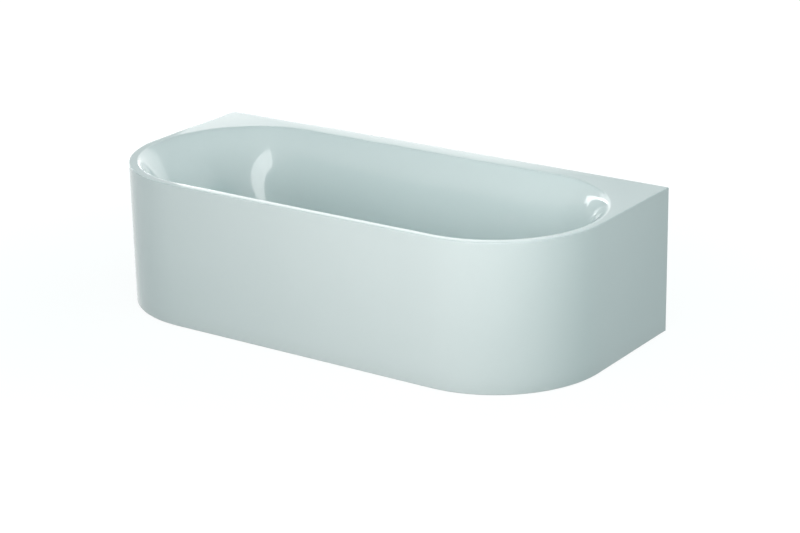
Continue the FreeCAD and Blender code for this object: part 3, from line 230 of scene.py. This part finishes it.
def loop_edges(form, row):
    found = []
    for first, second in zip(row, row[1:] + row[:1]):
        found.append(form.edges.get((first, second)) or form.edges.new((first, second)))
    return found


def add_box(form, low, high):
    made = bmesh.ops.create_cube(form, size=1.0)["verts"]
    middle = (Vector(low) + Vector(high)) / 2
    extent = Vector(high) - Vector(low)
    for vertex in made:
        vertex.co = Vector(vertex.co[axis] * extent[axis] + middle[axis] for axis in range(3))


def finish_mesh(name, form, angle=SMOOTH_ANGLE):
    bmesh.ops.recalc_face_normals(form, faces=form.faces)
    mesh = bpy.data.meshes.new(name)
    form.to_mesh(mesh)
    form.free()
    shade(mesh, angle)
    return mesh


def rounded(profile, radius, steps=4):
    """A line of (radius, height) points with its inner corners rounded."""
    longest = 0.45  # share of a side that one corner may take
    out = [profile[0]]
    for before, corner, after in zip(profile, profile[1:], profile[2:]):
        corner_v = Vector(corner)
        into = Vector(before) - corner_v
        away = Vector(after) - corner_v
        reach = min(radius, longest * into.length, longest * away.length)
        start = corner_v + into.normalized() * reach
        end = corner_v + away.normalized() * reach
        for step in range(steps + 1):
            share = step / steps
            point = start * (1 - share) ** 2 + corner_v * 2 * share * (1 - share) + end * share ** 2
            out.append(tuple(point))
    out.append(profile[-1])
    return out


def lathe(name, profile, at, along=(0, 0, 1), steps=96, angle=SMOOTH_ANGLE):
    """Turns a (radius, height) line in millimetres that is closed or ends on the axis."""
    form = bmesh.new()
    turn = Vector((0, 0, 1)).rotation_difference(Vector(along)).to_matrix()
    rows = []
    for radius, height in profile:
        row = []
        for step in range(steps):
            way = 2 * math.pi * step / steps
            local = Vector((radius * math.cos(way), radius * math.sin(way), height)) / MM
            row.append(Vector(at) + turn @ local)
        rows.append(row)
    add_rows(form, rows)
    bmesh.ops.remove_doubles(form, verts=form.verts, dist=WELD)
    return finish_mesh(name, form, angle)


# Rings round the bath: corner arcs and straight runs with the same steps on every level
ARC_STEPS = 36
LONG_STEPS = 30
SHORT_STEPS = 6
CORNERS = ((1, 1), (-1, 1), (-1, -1), (1, -1))


def ring(half_x, half_y, radii, z, middle=0.0):
    arcs = []
    for index, (side, end) in enumerate(CORNERS):
        radius = radii[index]
        centre = np.array((side * (half_x - radius), middle + end * (half_y - radius)))
        angles = np.radians(90 * index + 90 * np.arange(ARC_STEPS + 1) / ARC_STEPS)
        arcs.append(centre + radius * np.column_stack((np.cos(angles), np.sin(angles))))
    points = []
    for index, arc in enumerate(arcs):
        points.append(arc)
        steps = LONG_STEPS if index % 2 == 0 else SHORT_STEPS
        shares = (np.arange(1, steps) / steps)[:, None]
        points.append(arc[-1] * (1 - shares) + arcs[(index + 1) % 4][0] * shares)
    plan = np.concatenate(points)
    return np.column_stack((plan, np.full(len(plan), z)))


# Deck: a D in plan, with a straight back and an edge rounded by the sheet's thickness
HALF_LENGTH = 0.925
HALF_WIDTH = 0.425
FRONT_RADIUS = 0.395
BACK_RADIUS = 0.003
SHEET = 0.0025
DECK_Z = 0.515
DECK_UNDER_Z = 0.5125
EDGE_ROWS = 6
EDGE_BAND = 0.008


def deck_ring(inset, z):
    back = BACK_RADIUS - min(inset, SHEET)
    front = FRONT_RADIUS - inset
    return ring(HALF_LENGTH - inset, HALF_WIDTH - inset, (back, back, front, front), z)


# Bowl levels: height, half length, half width and corner radius, in metres
LEVEL_Z = (0.1545, 0.2695, 0.395, 0.509)
LEVEL_X = (0.639, 0.700, 0.774, 0.886)
LEVEL_Y = (0.283, 0.308, 0.336, 0.372)
LEVEL_R = (0.105, 0.156, 0.239, 0.3705)
BOWL_Y = -0.019
SLOPE_STEP = 0.0005

# Ends of the wall: half length, half width and corner radius of the mouth and the flat floor
MOUTH = np.array((0.902, 0.378, 0.3765))
KNEE_MAX = (0.900, 0.377)
KNEE_MARGIN = 0.0015
LIP_Z = 0.465
FOOT_Z = 0.152
FOOT_PULL = 0.030
FLOOR = (0.584, 0.228, 0.050)
FLOOR_Z = 0.0995
LIP_ROWS, WALL_ROWS, FOOT_ROWS = 20, 44, 15


def level_value(values, z):
    """The value at one height on the curve through the four levels."""
    total = 0.0
    for index, value in enumerate(values):
        share = 1.0
        for other, height in enumerate(LEVEL_Z):
            if other != index:
                share *= (z - height) / (LEVEL_Z[index] - height)
        total += value * share
    return total


def wall_sizes(z):
    return np.array([level_value(values, z) for values in (LEVEL_X, LEVEL_Y, LEVEL_R)])


def bowl_ring(sizes, z):
    half_x, half_y, radius = sizes
    return ring(half_x, half_y, (radius,) * 4, z, BOWL_Y)


def wall_ring(z):
    return bowl_ring(wall_sizes(z), z)


def wall_slope(z):
    return (wall_ring(z + SLOPE_STEP) - wall_ring(z - SLOPE_STEP)) / (2 * SLOPE_STEP)


def lip_rows():
    """The rolled rim: each size bends from its value on the deck to the wall's value and slope."""
    rise = DECK_Z - LIP_Z
    lip = wall_sizes(LIP_Z)
    knee = lip + (wall_sizes(LIP_Z + SLOPE_STEP) - lip) / SLOPE_STEP * rise
    knee[:2] = np.minimum(knee[:2], KNEE_MAX)
    knee[2] = min(knee[2], knee[1] - KNEE_MARGIN)
    rows = []
    for share in np.linspace(0, 1, LIP_ROWS)[:-1]:
        now = MOUTH * (1 - share) ** 2 + knee * 2 * share * (1 - share) + lip * share ** 2
        rows.append(bowl_ring(now, DECK_Z - rise * share ** 2))
    return rows


def bowl_rows():
    """Rows of points from the mouth on the deck down to the edge of the flat floor."""
    rows = lip_rows()
    for z in np.linspace(LIP_Z, FOOT_Z, WALL_ROWS):
        rows.append(wall_ring(z))
    foot = wall_ring(FOOT_Z)
    down = -wall_slope(FOOT_Z)
    down /= np.linalg.norm(down, axis=1)[:, None]
    floor = bowl_ring(FLOOR, FLOOR_Z)
    outward = foot - floor
    outward[:, 2] = 0
    outward /= np.linalg.norm(outward, axis=1)[:, None]
    first = foot + FOOT_PULL * down
    second = floor + FOOT_PULL * outward
    for share in np.linspace(0, 1, FOOT_ROWS)[1:]:
        rest = 1 - share
        rows.append(foot * rest ** 3 + first * 3 * share * rest ** 2
                    + second * 3 * share ** 2 * rest + floor * share ** 3)
    return np.array(rows)


def row_normals(rows):
    along = np.roll(rows, -1, axis=1) - np.roll(rows, 1, axis=1)
    down = np.gradient(rows, axis=0)
    normals = np.cross(along, down)
    return normals / np.linalg.norm(normals, axis=2)[:, :, None]


# Waste and overflow in the shell; the turned lines are (radius, height) in millimetres
WASTE = (0.0, -0.134)
WASTE_RECESS = ((49, 97.0), (49, 92.3), (48.7, 92.0), (26, 92.0), (26, 94.5), (42.5, 94.5),
                (43.8, 94.8), (44.6, 95.5), (45, 96.8), (45.4, 98.2), (46.2, 99.1), (47.5, 99.5))
SEAT = Vector((0.0, -0.35577, 0.385))
SEAT_TILT = math.radians(14)
SEAT_AXIS = Vector((0.0, math.cos(SEAT_TILT), math.sin(SEAT_TILT)))
SEAT_STEPS = 80
SEAT_OPENING = ((0, -12), (45, -12), (45, 14), (0, 14))
SEAT_COLLAR = ((26, -2.5), (47, -2.5), (47, 1.5), (43, 1.5), (43, 0), (26, 0), (26, -2.5))
SEAT_WELD = 1e-5
REAR_FLANGE = ((-0.9045, 0.4225, 0.4775), (0.9045, 0.425, 0.5135))
SHELL_ANGLE = 30.0


def waste_circle(radius, z, steps=72):
    angles = 2 * np.pi * np.arange(steps) / steps
    return np.column_stack((WASTE[0] + radius * np.cos(angles), WASTE[1] + radius * np.sin(angles),
                            np.full(steps, z)))


def seat_shape(name, profile):
    item = bpy.data.objects.new(name, lathe(name, profile, SEAT, SEAT_AXIS, SEAT_STEPS))
    scene.collection.objects.link(item)
    return item


def shell_mesh():
    """Underside, deck edge, deck and bowl in one skin, closed by the recess of the waste."""
    form = bmesh.new()
    bowl = bowl_rows()
    under = bowl - SHEET * row_normals(bowl)
    under[0, :, 2] = DECK_UNDER_Z
    stack = list(under[::-1])
    stack.append(deck_ring(SHEET, DECK_UNDER_Z))
    for angle in np.radians(np.linspace(0, 90, EDGE_ROWS)):
        inset = SHEET - SHEET * math.cos(angle)
        stack.append(deck_ring(inset, DECK_UNDER_Z + SHEET * math.sin(angle)))
    stack.append(deck_ring(EDGE_BAND, DECK_Z))
    stack.extend(bowl)
    made = add_rows(form, stack)
    turned = add_rows(form, [waste_circle(radius / MM, z / MM) for radius, z in WASTE_RECESS])
    for end in (-1, 0):
        edges = loop_edges(form, made[end]) + loop_edges(form, turned[end])
        bmesh.ops.triangle_fill(form, use_beauty=True, edges=edges)
    return finish_mesh("bath_shell_enamel", form)


def make_shell():
    mesh = shell_mesh()
    shell = new_object("bath_shell_enamel", mesh, "white_enamel", "bath", "bath_shell")
    cutters = [seat_shape("seat_opening", SEAT_OPENING), seat_shape("seat_collar", SEAT_COLLAR)]
    for cutter, way in zip(cutters, ("DIFFERENCE", "UNION")):
        modifier = shell.modifiers.new(cutter.name, "BOOLEAN")
        modifier.object = cutter
        modifier.operation = way
        modifier.solver = "EXACT"
    bpy.context.view_layer.update()
    evaluated = shell.evaluated_get(bpy.context.evaluated_depsgraph_get())
    done = bpy.data.meshes.new_from_object(evaluated)
    shell.modifiers.clear()
    for cutter in cutters:
        bpy.data.objects.remove(cutter)
    form = bmesh.new()
    form.from_mesh(done)
    bmesh.ops.remove_doubles(form, verts=form.verts, dist=SEAT_WELD)
    bmesh.ops.triangulate(form, faces=[face for face in form.faces if len(face.verts) > 4])
    bmesh.ops.dissolve_degenerate(form, edges=form.edges, dist=SEAT_WELD)
    add_box(form, *REAR_FLANGE)
    form.to_mesh(done)
    form.free()
    done.name = "bath_shell_enamel_mesh"
    shell.data = done
    shade(done, SHELL_ANGLE)


# Apron: a section of (inset, height) in millimetres, led along the D
CORNER_X = 0.53
CORNER_Y = -0.03
BACK_Y = 0.4249
END_PLACES, CORNER_PLACES, FRONT_PLACES = 9, 65, 25
APRON_SECTION = ((16, 512.5), (0, 512.5), (0, 400), (0, 280), (0, 160), (0, 60), (0, 6),
                 (0.3, 4.6), (1.2, 3.2), (2.6, 2.3), (4, 2), (20, 2),
                 (20, 3.5), (1.5, 3.5), (1.5, 511), (16, 511))
RETURN_X = (0.905, 0.9248)
RETURN_Y = (0.4235, 0.425)
RETURN_Z = (0.002, 0.5124)


def corner_path(centre_x, first, last):
    places = []
    for angle in np.radians(np.linspace(first, last, CORNER_PLACES)):
        way = (math.cos(angle), math.sin(angle))
        point = (centre_x + FRONT_RADIUS * way[0], CORNER_Y + FRONT_RADIUS * way[1])
        places.append((point, way))
    return places


def apron_path():
    """Points and outward directions from the back right corner round the front to the back left."""
    places = []
    for y in np.linspace(BACK_Y, CORNER_Y, END_PLACES)[:-1]:
        places.append(((HALF_LENGTH, y), (1, 0)))
    places += corner_path(CORNER_X, 0, -90)
    for x in np.linspace(CORNER_X, -CORNER_X, FRONT_PLACES)[1:-1]:
        places.append(((x, -HALF_WIDTH), (0, -1)))
    places += corner_path(-CORNER_X, -90, -180)
    for y in np.linspace(CORNER_Y, BACK_Y, END_PLACES)[1:]:
        places.append(((-HALF_LENGTH, y), (-1, 0)))
    return places


def make_apron():
    form = bmesh.new()
    path = apron_path()
    rows = []
    for inset, z in APRON_SECTION + APRON_SECTION[:1]:
        rows.append([(x - way[0] * inset / MM, y - way[1] * inset / MM, z / MM)
                     for (x, y), way in path])
    add_rows(form, rows, closed=False)
    bmesh.ops.remove_doubles(form, verts=form.verts, dist=WELD)
    bmesh.ops.holes_fill(form, edges=[edge for edge in form.edges if edge.is_boundary], sides=0)
    for side in (-1, 1):
        ends = sorted(side * x for x in RETURN_X)
        add_box(form, *zip(ends, RETURN_Y, RETURN_Z))
    mesh = finish_mesh("apron_enamel", form)
    new_object("apron_enamel", mesh, "white_enamel", "bath", "apron")


# Waste and overflow fittings, sizes in millimetres
PLUG_EDGE = 0.7
PLUG_STEPS = 128
KNOB_NOTCHES = 12
KNOB_RADIUS = 35.0
KNOB_ANGLE = 40.0
NOTCH_CENTRE, NOTCH_RADIUS = 37.75, 4.0
EASE_PASSES = 6
HOSE_CUFF, HOSE_SOCKET = 30.0, 25
HOSE_RIBS, RIB_STEPS = 23, 12
HOSE_VALLEY, RIB_HEIGHT, RIB_CURVE = 17.0, 3.5, 1.6
HOSE_STEPS = 72
HOSE_ANGLE = 50.0


def make_plug():
    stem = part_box("popup_plug")[0].z * MM
    body = rounded([(0, stem), (4, stem), (4, 93.1), (18, 93.1), (18, 98.1), (31, 98.1), (31, 99.8),
                    (28.5, 100.7), (18, 101.0), (0, 101.1)], PLUG_EDGE)
    mesh = lathe("popup_plug_chrome", body, (*WASTE, 0), steps=PLUG_STEPS)
    new_object("popup_plug_chrome", mesh, "chrome", "plug", "popup_plug")


def knob_outline(steps=384):
    """Angles and radii round the knob, with finger notches whose edges are eased."""
    angles = 2 * np.pi * np.arange(steps) / steps
    pitch = 2 * np.pi / KNOB_NOTCHES
    nearest = (angles + pitch / 2) % pitch - pitch / 2
    inside = NOTCH_RADIUS ** 2 - (NOTCH_CENTRE * np.sin(nearest)) ** 2
    cut = NOTCH_CENTRE * np.cos(nearest) - np.sqrt(np.maximum(inside, 0))
    radius = np.where(inside > 0, np.minimum(cut, KNOB_RADIUS), KNOB_RADIUS)
    for _ in range(EASE_PASSES):
        radius = (np.roll(radius, 1) + 2 * radius + np.roll(radius, -1)) / 4
    return angles, radius


def make_knob():
    form = bmesh.new()
    turn = Vector((0, 0, 1)).rotation_difference(SEAT_AXIS).to_matrix()
    angles, outline = knob_outline()
    plain = np.ones(len(angles))
    levels = [(0.0 * plain, 17.0), (4.1 * plain, 17.0), (4.1 * plain, 8.0), (8 * plain, 8.0),
              (8 * plain, 17.5), (32 * plain, 17.5), (32 * plain, 6.4), (32.4 * plain, 6.0),
              (outline - 0.6, 6.0), (outline - 0.1, 6.3), (outline, 7.0), (outline, 17.6),
              (outline - 0.25, 18.6), (outline - 0.8, 19.4), (outline - 1.7, 19.9),
              (outline - 2.8, 20.0), (27.0 * plain, 19.8), (18.0 * plain, 19.5),
              (8.0 * plain, 19.35), (0.0 * plain, 19.3)]
    rows = []
    for radius, height in levels:
        local = [(r * math.cos(a) / MM, r * math.sin(a) / MM, height / MM)
                 for r, a in zip(radius, angles)]
        rows.append([SEAT + turn @ Vector(point) for point in local])
    add_rows(form, rows)
    bmesh.ops.remove_doubles(form, verts=form.verts, dist=WELD)
    mesh = finish_mesh("overflow_knob_chrome", form, KNOB_ANGLE)
    new_object("overflow_knob_chrome", mesh, "chrome", "overflow_control", "overflow_knob")


def make_hose():
    low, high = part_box("overflow_hose")
    bottom, top = low.z * MM, high.z * MM
    start, end = bottom + HOSE_CUFF, top - HOSE_CUFF
    outer = [(18.1, bottom), (20.2, bottom), (20.5, bottom + 0.4), (20.5, start - 1.2),
             (20.1, start - 0.4), (18.5, start)]
    pitch = (top - bottom - 2 * HOSE_CUFF) / HOSE_RIBS
    count = HOSE_RIBS * RIB_STEPS
    for index in range(count + 1):
        wave = 0.5 - 0.5 * math.cos(2 * math.pi * (index / RIB_STEPS - 0.5))
        valley = 1 - (1 - wave) ** RIB_CURVE
        ease = min(1.0, index / RIB_STEPS, (count - index) / RIB_STEPS)
        z = start + 0.4 + index * (pitch - 0.8 / HOSE_RIBS) / RIB_STEPS
        outer.append((HOSE_VALLEY + RIB_HEIGHT * (1 - valley) * ease, z))
    outer += [(18.5, end), (20.1, end + 0.4), (20.5, end + 1.2), (20.5, top - 0.4),
              (20.2, top), (18.1, top)]
    inner = [(18.1, top - HOSE_SOCKET), (14.2, top - HOSE_SOCKET), (14.2, bottom + HOSE_SOCKET),
             (18.1, bottom + HOSE_SOCKET), (18.1, bottom)]
    centre = (low + high) / 2
    mesh = lathe("overflow_hose_ribbed", outer + inner, (0, centre.y, 0), steps=HOSE_STEPS,
                 angle=HOSE_ANGLE)
    new_object("overflow_hose_ribbed", mesh, "grey_plastic", "bath", "overflow_hose")


# Control cable and foot rods, sizes in metres
CABLE_RADIUS = 0.003
ROD_RADIUS = 0.006
ROD_STEPS = 24
ROD_ANGLE = 60.0
THREAD_PITCH, THREAD_DEPTH, THREAD_ROWS = 0.00175, 0.0009, 6
END_DEPTH, END_LENGTH = 0.0011, 0.0012


def make_cable():
    route = [(0.028, -0.3795, 0.334), (0.028, -0.3795, 0.2747), (0.046, -0.3795, 0.1857),
             (0.046, -0.3812, 0.072), (0.046, -0.209, 0.076)]
    data = bpy.data.curves.new("control_cable_sheath", "CURVE")
    data.dimensions = "3D"
    data.bevel_depth = CABLE_RADIUS
    data.bevel_resolution = 6
    data.use_fill_caps = True
    spline = data.splines.new("NURBS")
    spline.points.add(len(route) - 1)
    for point, place in zip(spline.points, route):
        point.co = (*place, 1)
    spline.order_u = 3
    spline.use_endpoint_u = True
    spline.resolution_u = 24
    sheath = new_object("control_cable_sheath", data, "black_plastic", "bath", "control_cable")


def make_rod(corner):
    node = f"foot_rod_{corner}"
    low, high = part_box(node)
    centre = (low + high) / 2
    length = high.z - low.z
    count = int(length / THREAD_PITCH * THREAD_ROWS)
    rows = []
    for row in range(count + 1):
        z = length * row / count
        end = END_DEPTH * max(0.0, 1 - min(z, length - z) / END_LENGTH)
        points = []
        for step in range(ROD_STEPS):
            angle = 2 * math.pi * step / ROD_STEPS
            phase = (z / THREAD_PITCH - step / ROD_STEPS) % 1.0
            depth = THREAD_DEPTH * abs(2 * phase - 1)
            radius = ROD_RADIUS - max(depth, end)
            points.append((centre.x + radius * math.cos(angle),
                           centre.y + radius * math.sin(angle), low.z + z))
        rows.append(points)
    form = bmesh.new()
    made = add_rows(form, rows)
    form.faces.new(made[0])
    form.faces.new(made[-1])
    mesh = finish_mesh(f"{node}_threaded", form, ROD_ANGLE)
    new_object(f"{node}_threaded", mesh, "zinc_steel", f"foot_{corner}", node)


make_camera()
make_cable()
make_shell()
make_apron()
make_plug()
make_knob()
make_hose()
for corner in ("front_left", "front_right", "rear_left", "rear_right"):
    make_rod(corner)


# Materials on the nodes that keep their shape; those not named here are zinc_steel
KEPT = {
    "chrome": ("waste_flange",),
    "brass": ("knob_spindle",),
    "black_plastic": ("waste_body", "overflow_body", "overflow_elbow", "cable_clips", "foot_pad"),
    "white_plastic": ("trap_drum", "trap_cap", "union_nut", "outlet_pipe"),
    "seal_rubber": ("waste_seal", "plug_seal", "lever_seal", "overflow_seal", "trap_cap_seal",
                    "union_seal", "outlet_seal", "bearer_pads"),
    "bitumen": ("damping_mats",),
}
for name, item in nodes.items():
    chosen = "zinc_steel"
    for slot, starts in KEPT.items():
        if name.startswith(starts):
            chosen = slot
    item.data.materials.clear()
    item.data.materials.append(MATERIALS[chosen])


# Studio: a pale floor, a cool surround, softboxes that only light and cards that only reflect
WHITE = (1, 1, 1, 1)
STUDIO_HALF = 60.0
STUDIO_Z = -0.0005
STUDIO_COLOUR = (0.13, 0.155, 0.155, 1)
GLOW_DISTANCE = (0.8, 3.5)
GLOW_LEVEL = (0.90, 1.0)
SURROUND_COLOUR = (0.70, 0.98, 1.0, 1)
SURROUND_MIDDLE = 0.4
SURROUND_LEVELS = (0.40, 0.68, 0.20)
PLAIN = (1.0, 0.99, 0.98)

# Name, place, target, width, height, power and colour
SOFTBOXES = (
    ("key_softbox", (0.7, -2.0, 1.0), (0.4, -0.4, 0.35), 2.6, 0.7, 23.5, (1.0, 0.98, 0.965)),
    ("rear_softbox", (0.6, 2.6, 1.5), (0, 0.2, 0.5), 2.4, 1.0, 20.0, (1.0, 0.97, 0.96)),
    ("right_softbox", (1.85, -0.7, 1.05), (0.88, 0, 0.45), 0.7, 0.5, 3.6, (0.88, 1.0, 0.98)),
    ("left_softbox", (-2.7, 1.0, 0.75), (-0.92, 0, 0.25), 1.4, 0.9, 8.0, PLAIN),
)
CARDS = (
    ("reflection_card", (2.47, -3.0, 1.35), (-0.7, 0.25, 0.35), 4.6, 1.3, 70.0, PLAIN),
    ("back_card", (-0.75, 1.2, 0.88), (-0.5, -0.1, 0.5), 1.9, 0.65, 3.9, PLAIN),
    ("left_card", (-2.3, 1.2, 0.68), (0.86, 0, 0.51), 2.4, 0.40, 11.8, PLAIN),
)
BACK_CARD_X = (-0.45, 0.25)


def seen_ray(tree):
    """1 on the rays that show the background: camera, glossy and transmission rays."""
    path = tree.nodes.new("ShaderNodeLightPath")
    first = add_math(tree, "MAXIMUM", path.outputs["Is Camera Ray"], path.outputs["Is Glossy Ray"])
    return add_math(tree, "MAXIMUM", first, path.outputs["Is Transmission Ray"])


def make_floor():
    form = bmesh.new()
    bmesh.ops.create_grid(form, x_segments=1, y_segments=1, size=STUDIO_HALF)
    mesh = bpy.data.meshes.new("studio_floor")
    form.to_mesh(mesh)
    form.free()
    floor = bpy.data.objects.new("studio_floor", mesh)
    floor.location.z = STUDIO_Z
    scene.collection.objects.link(floor)
    material, tree, shader = new_material("studio_floor")
    shader.inputs["Base Color"].default_value = STUDIO_COLOUR
    shader.inputs["Roughness"].default_value = 0.9
    shader.inputs["Specular IOR Level"].default_value = 0.0
    shader.inputs["Emission Color"].default_value = WHITE
    place = tree.nodes.new("ShaderNodeTexCoord")
    distance = tree.nodes.new("ShaderNodeVectorMath")
    distance.operation = "LENGTH"
    tree.links.new(place.outputs["Object"], distance.inputs[0])
    fade = add_range(tree, distance.outputs["Value"], GLOW_DISTANCE, GLOW_LEVEL, "SMOOTHSTEP")
    glow = add_math(tree, "MULTIPLY", seen_ray(tree), fade)
    tree.links.new(glow, shader.inputs["Emission Strength"])
    mesh.materials.append(material)


def make_lamp(name, place, target, width, height, power, colour):
    data = bpy.data.lights.new(name, "AREA")
    data.shape = "RECTANGLE"
    data.size = width
    data.size_y = height
    data.energy = power
    data.color = colour
    lamp = bpy.data.objects.new(name, data)
    scene.collection.objects.link(lamp)
    lamp.location = place
    lamp.rotation_euler = (Vector(target) - Vector(place)).to_track_quat("-Z", "Y").to_euler()
    lamp.visible_camera = False
    return lamp


def fade_lamp(lamp, places):
    """Lets a card's glow fade out from the first X to the second, like a feathered softbox."""
    lamp.data.use_nodes = True
    tree = lamp.data.node_tree
    place = tree.nodes.new("ShaderNodeNewGeometry")
    split = tree.nodes.new("ShaderNodeSeparateXYZ")
    tree.links.new(place.outputs["Position"], split.inputs["Vector"])
    fade = add_range(tree, split.outputs["X"], places, (1.0, 0.0), "SMOOTHSTEP")
    tree.links.new(fade, tree.nodes["Emission"].inputs["Strength"])


def make_world():
    world = bpy.data.worlds.new("surround")
    scene.world = world
    world.use_nodes = True
    tree = world.node_tree
    ambient = tree.nodes["Background"]
    ambient.inputs["Color"].default_value = SURROUND_COLOUR
    place = tree.nodes.new("ShaderNodeTexCoord")
    split = tree.nodes.new("ShaderNodeSeparateXYZ")
    tree.links.new(place.outputs["Generated"], split.inputs["Vector"])
    height = tree.nodes.new("ShaderNodeValToRGB")
    steps = height.color_ramp.elements
    steps.new(SURROUND_MIDDLE)
    for step, level in zip(steps, SURROUND_LEVELS):
        step.color = (level, level, level, 1)
    tree.links.new(split.outputs["Z"], height.inputs["Fac"])
    tree.links.new(height.outputs["Color"], ambient.inputs["Strength"])
    white = tree.nodes.new("ShaderNodeBackground")
    white.inputs["Color"].default_value = WHITE
    white.inputs["Strength"].default_value = 1.0
    mix = tree.nodes.new("ShaderNodeMixShader")
    tree.links.new(seen_ray(tree), mix.inputs["Fac"])
    tree.links.new(ambient.outputs["Background"], mix.inputs[1])
    tree.links.new(white.outputs["Background"], mix.inputs[2])
    tree.links.new(mix.outputs["Shader"], tree.nodes["World Output"].inputs["Surface"])


make_floor()
make_world()
for values in SOFTBOXES:
    make_lamp(*values).visible_glossy = False
for values in CARDS:
    make_lamp(*values).visible_diffuse = False
fade_lamp(scene.objects["back_card"], BACK_CARD_X)
scene.view_settings.view_transform = "Standard"
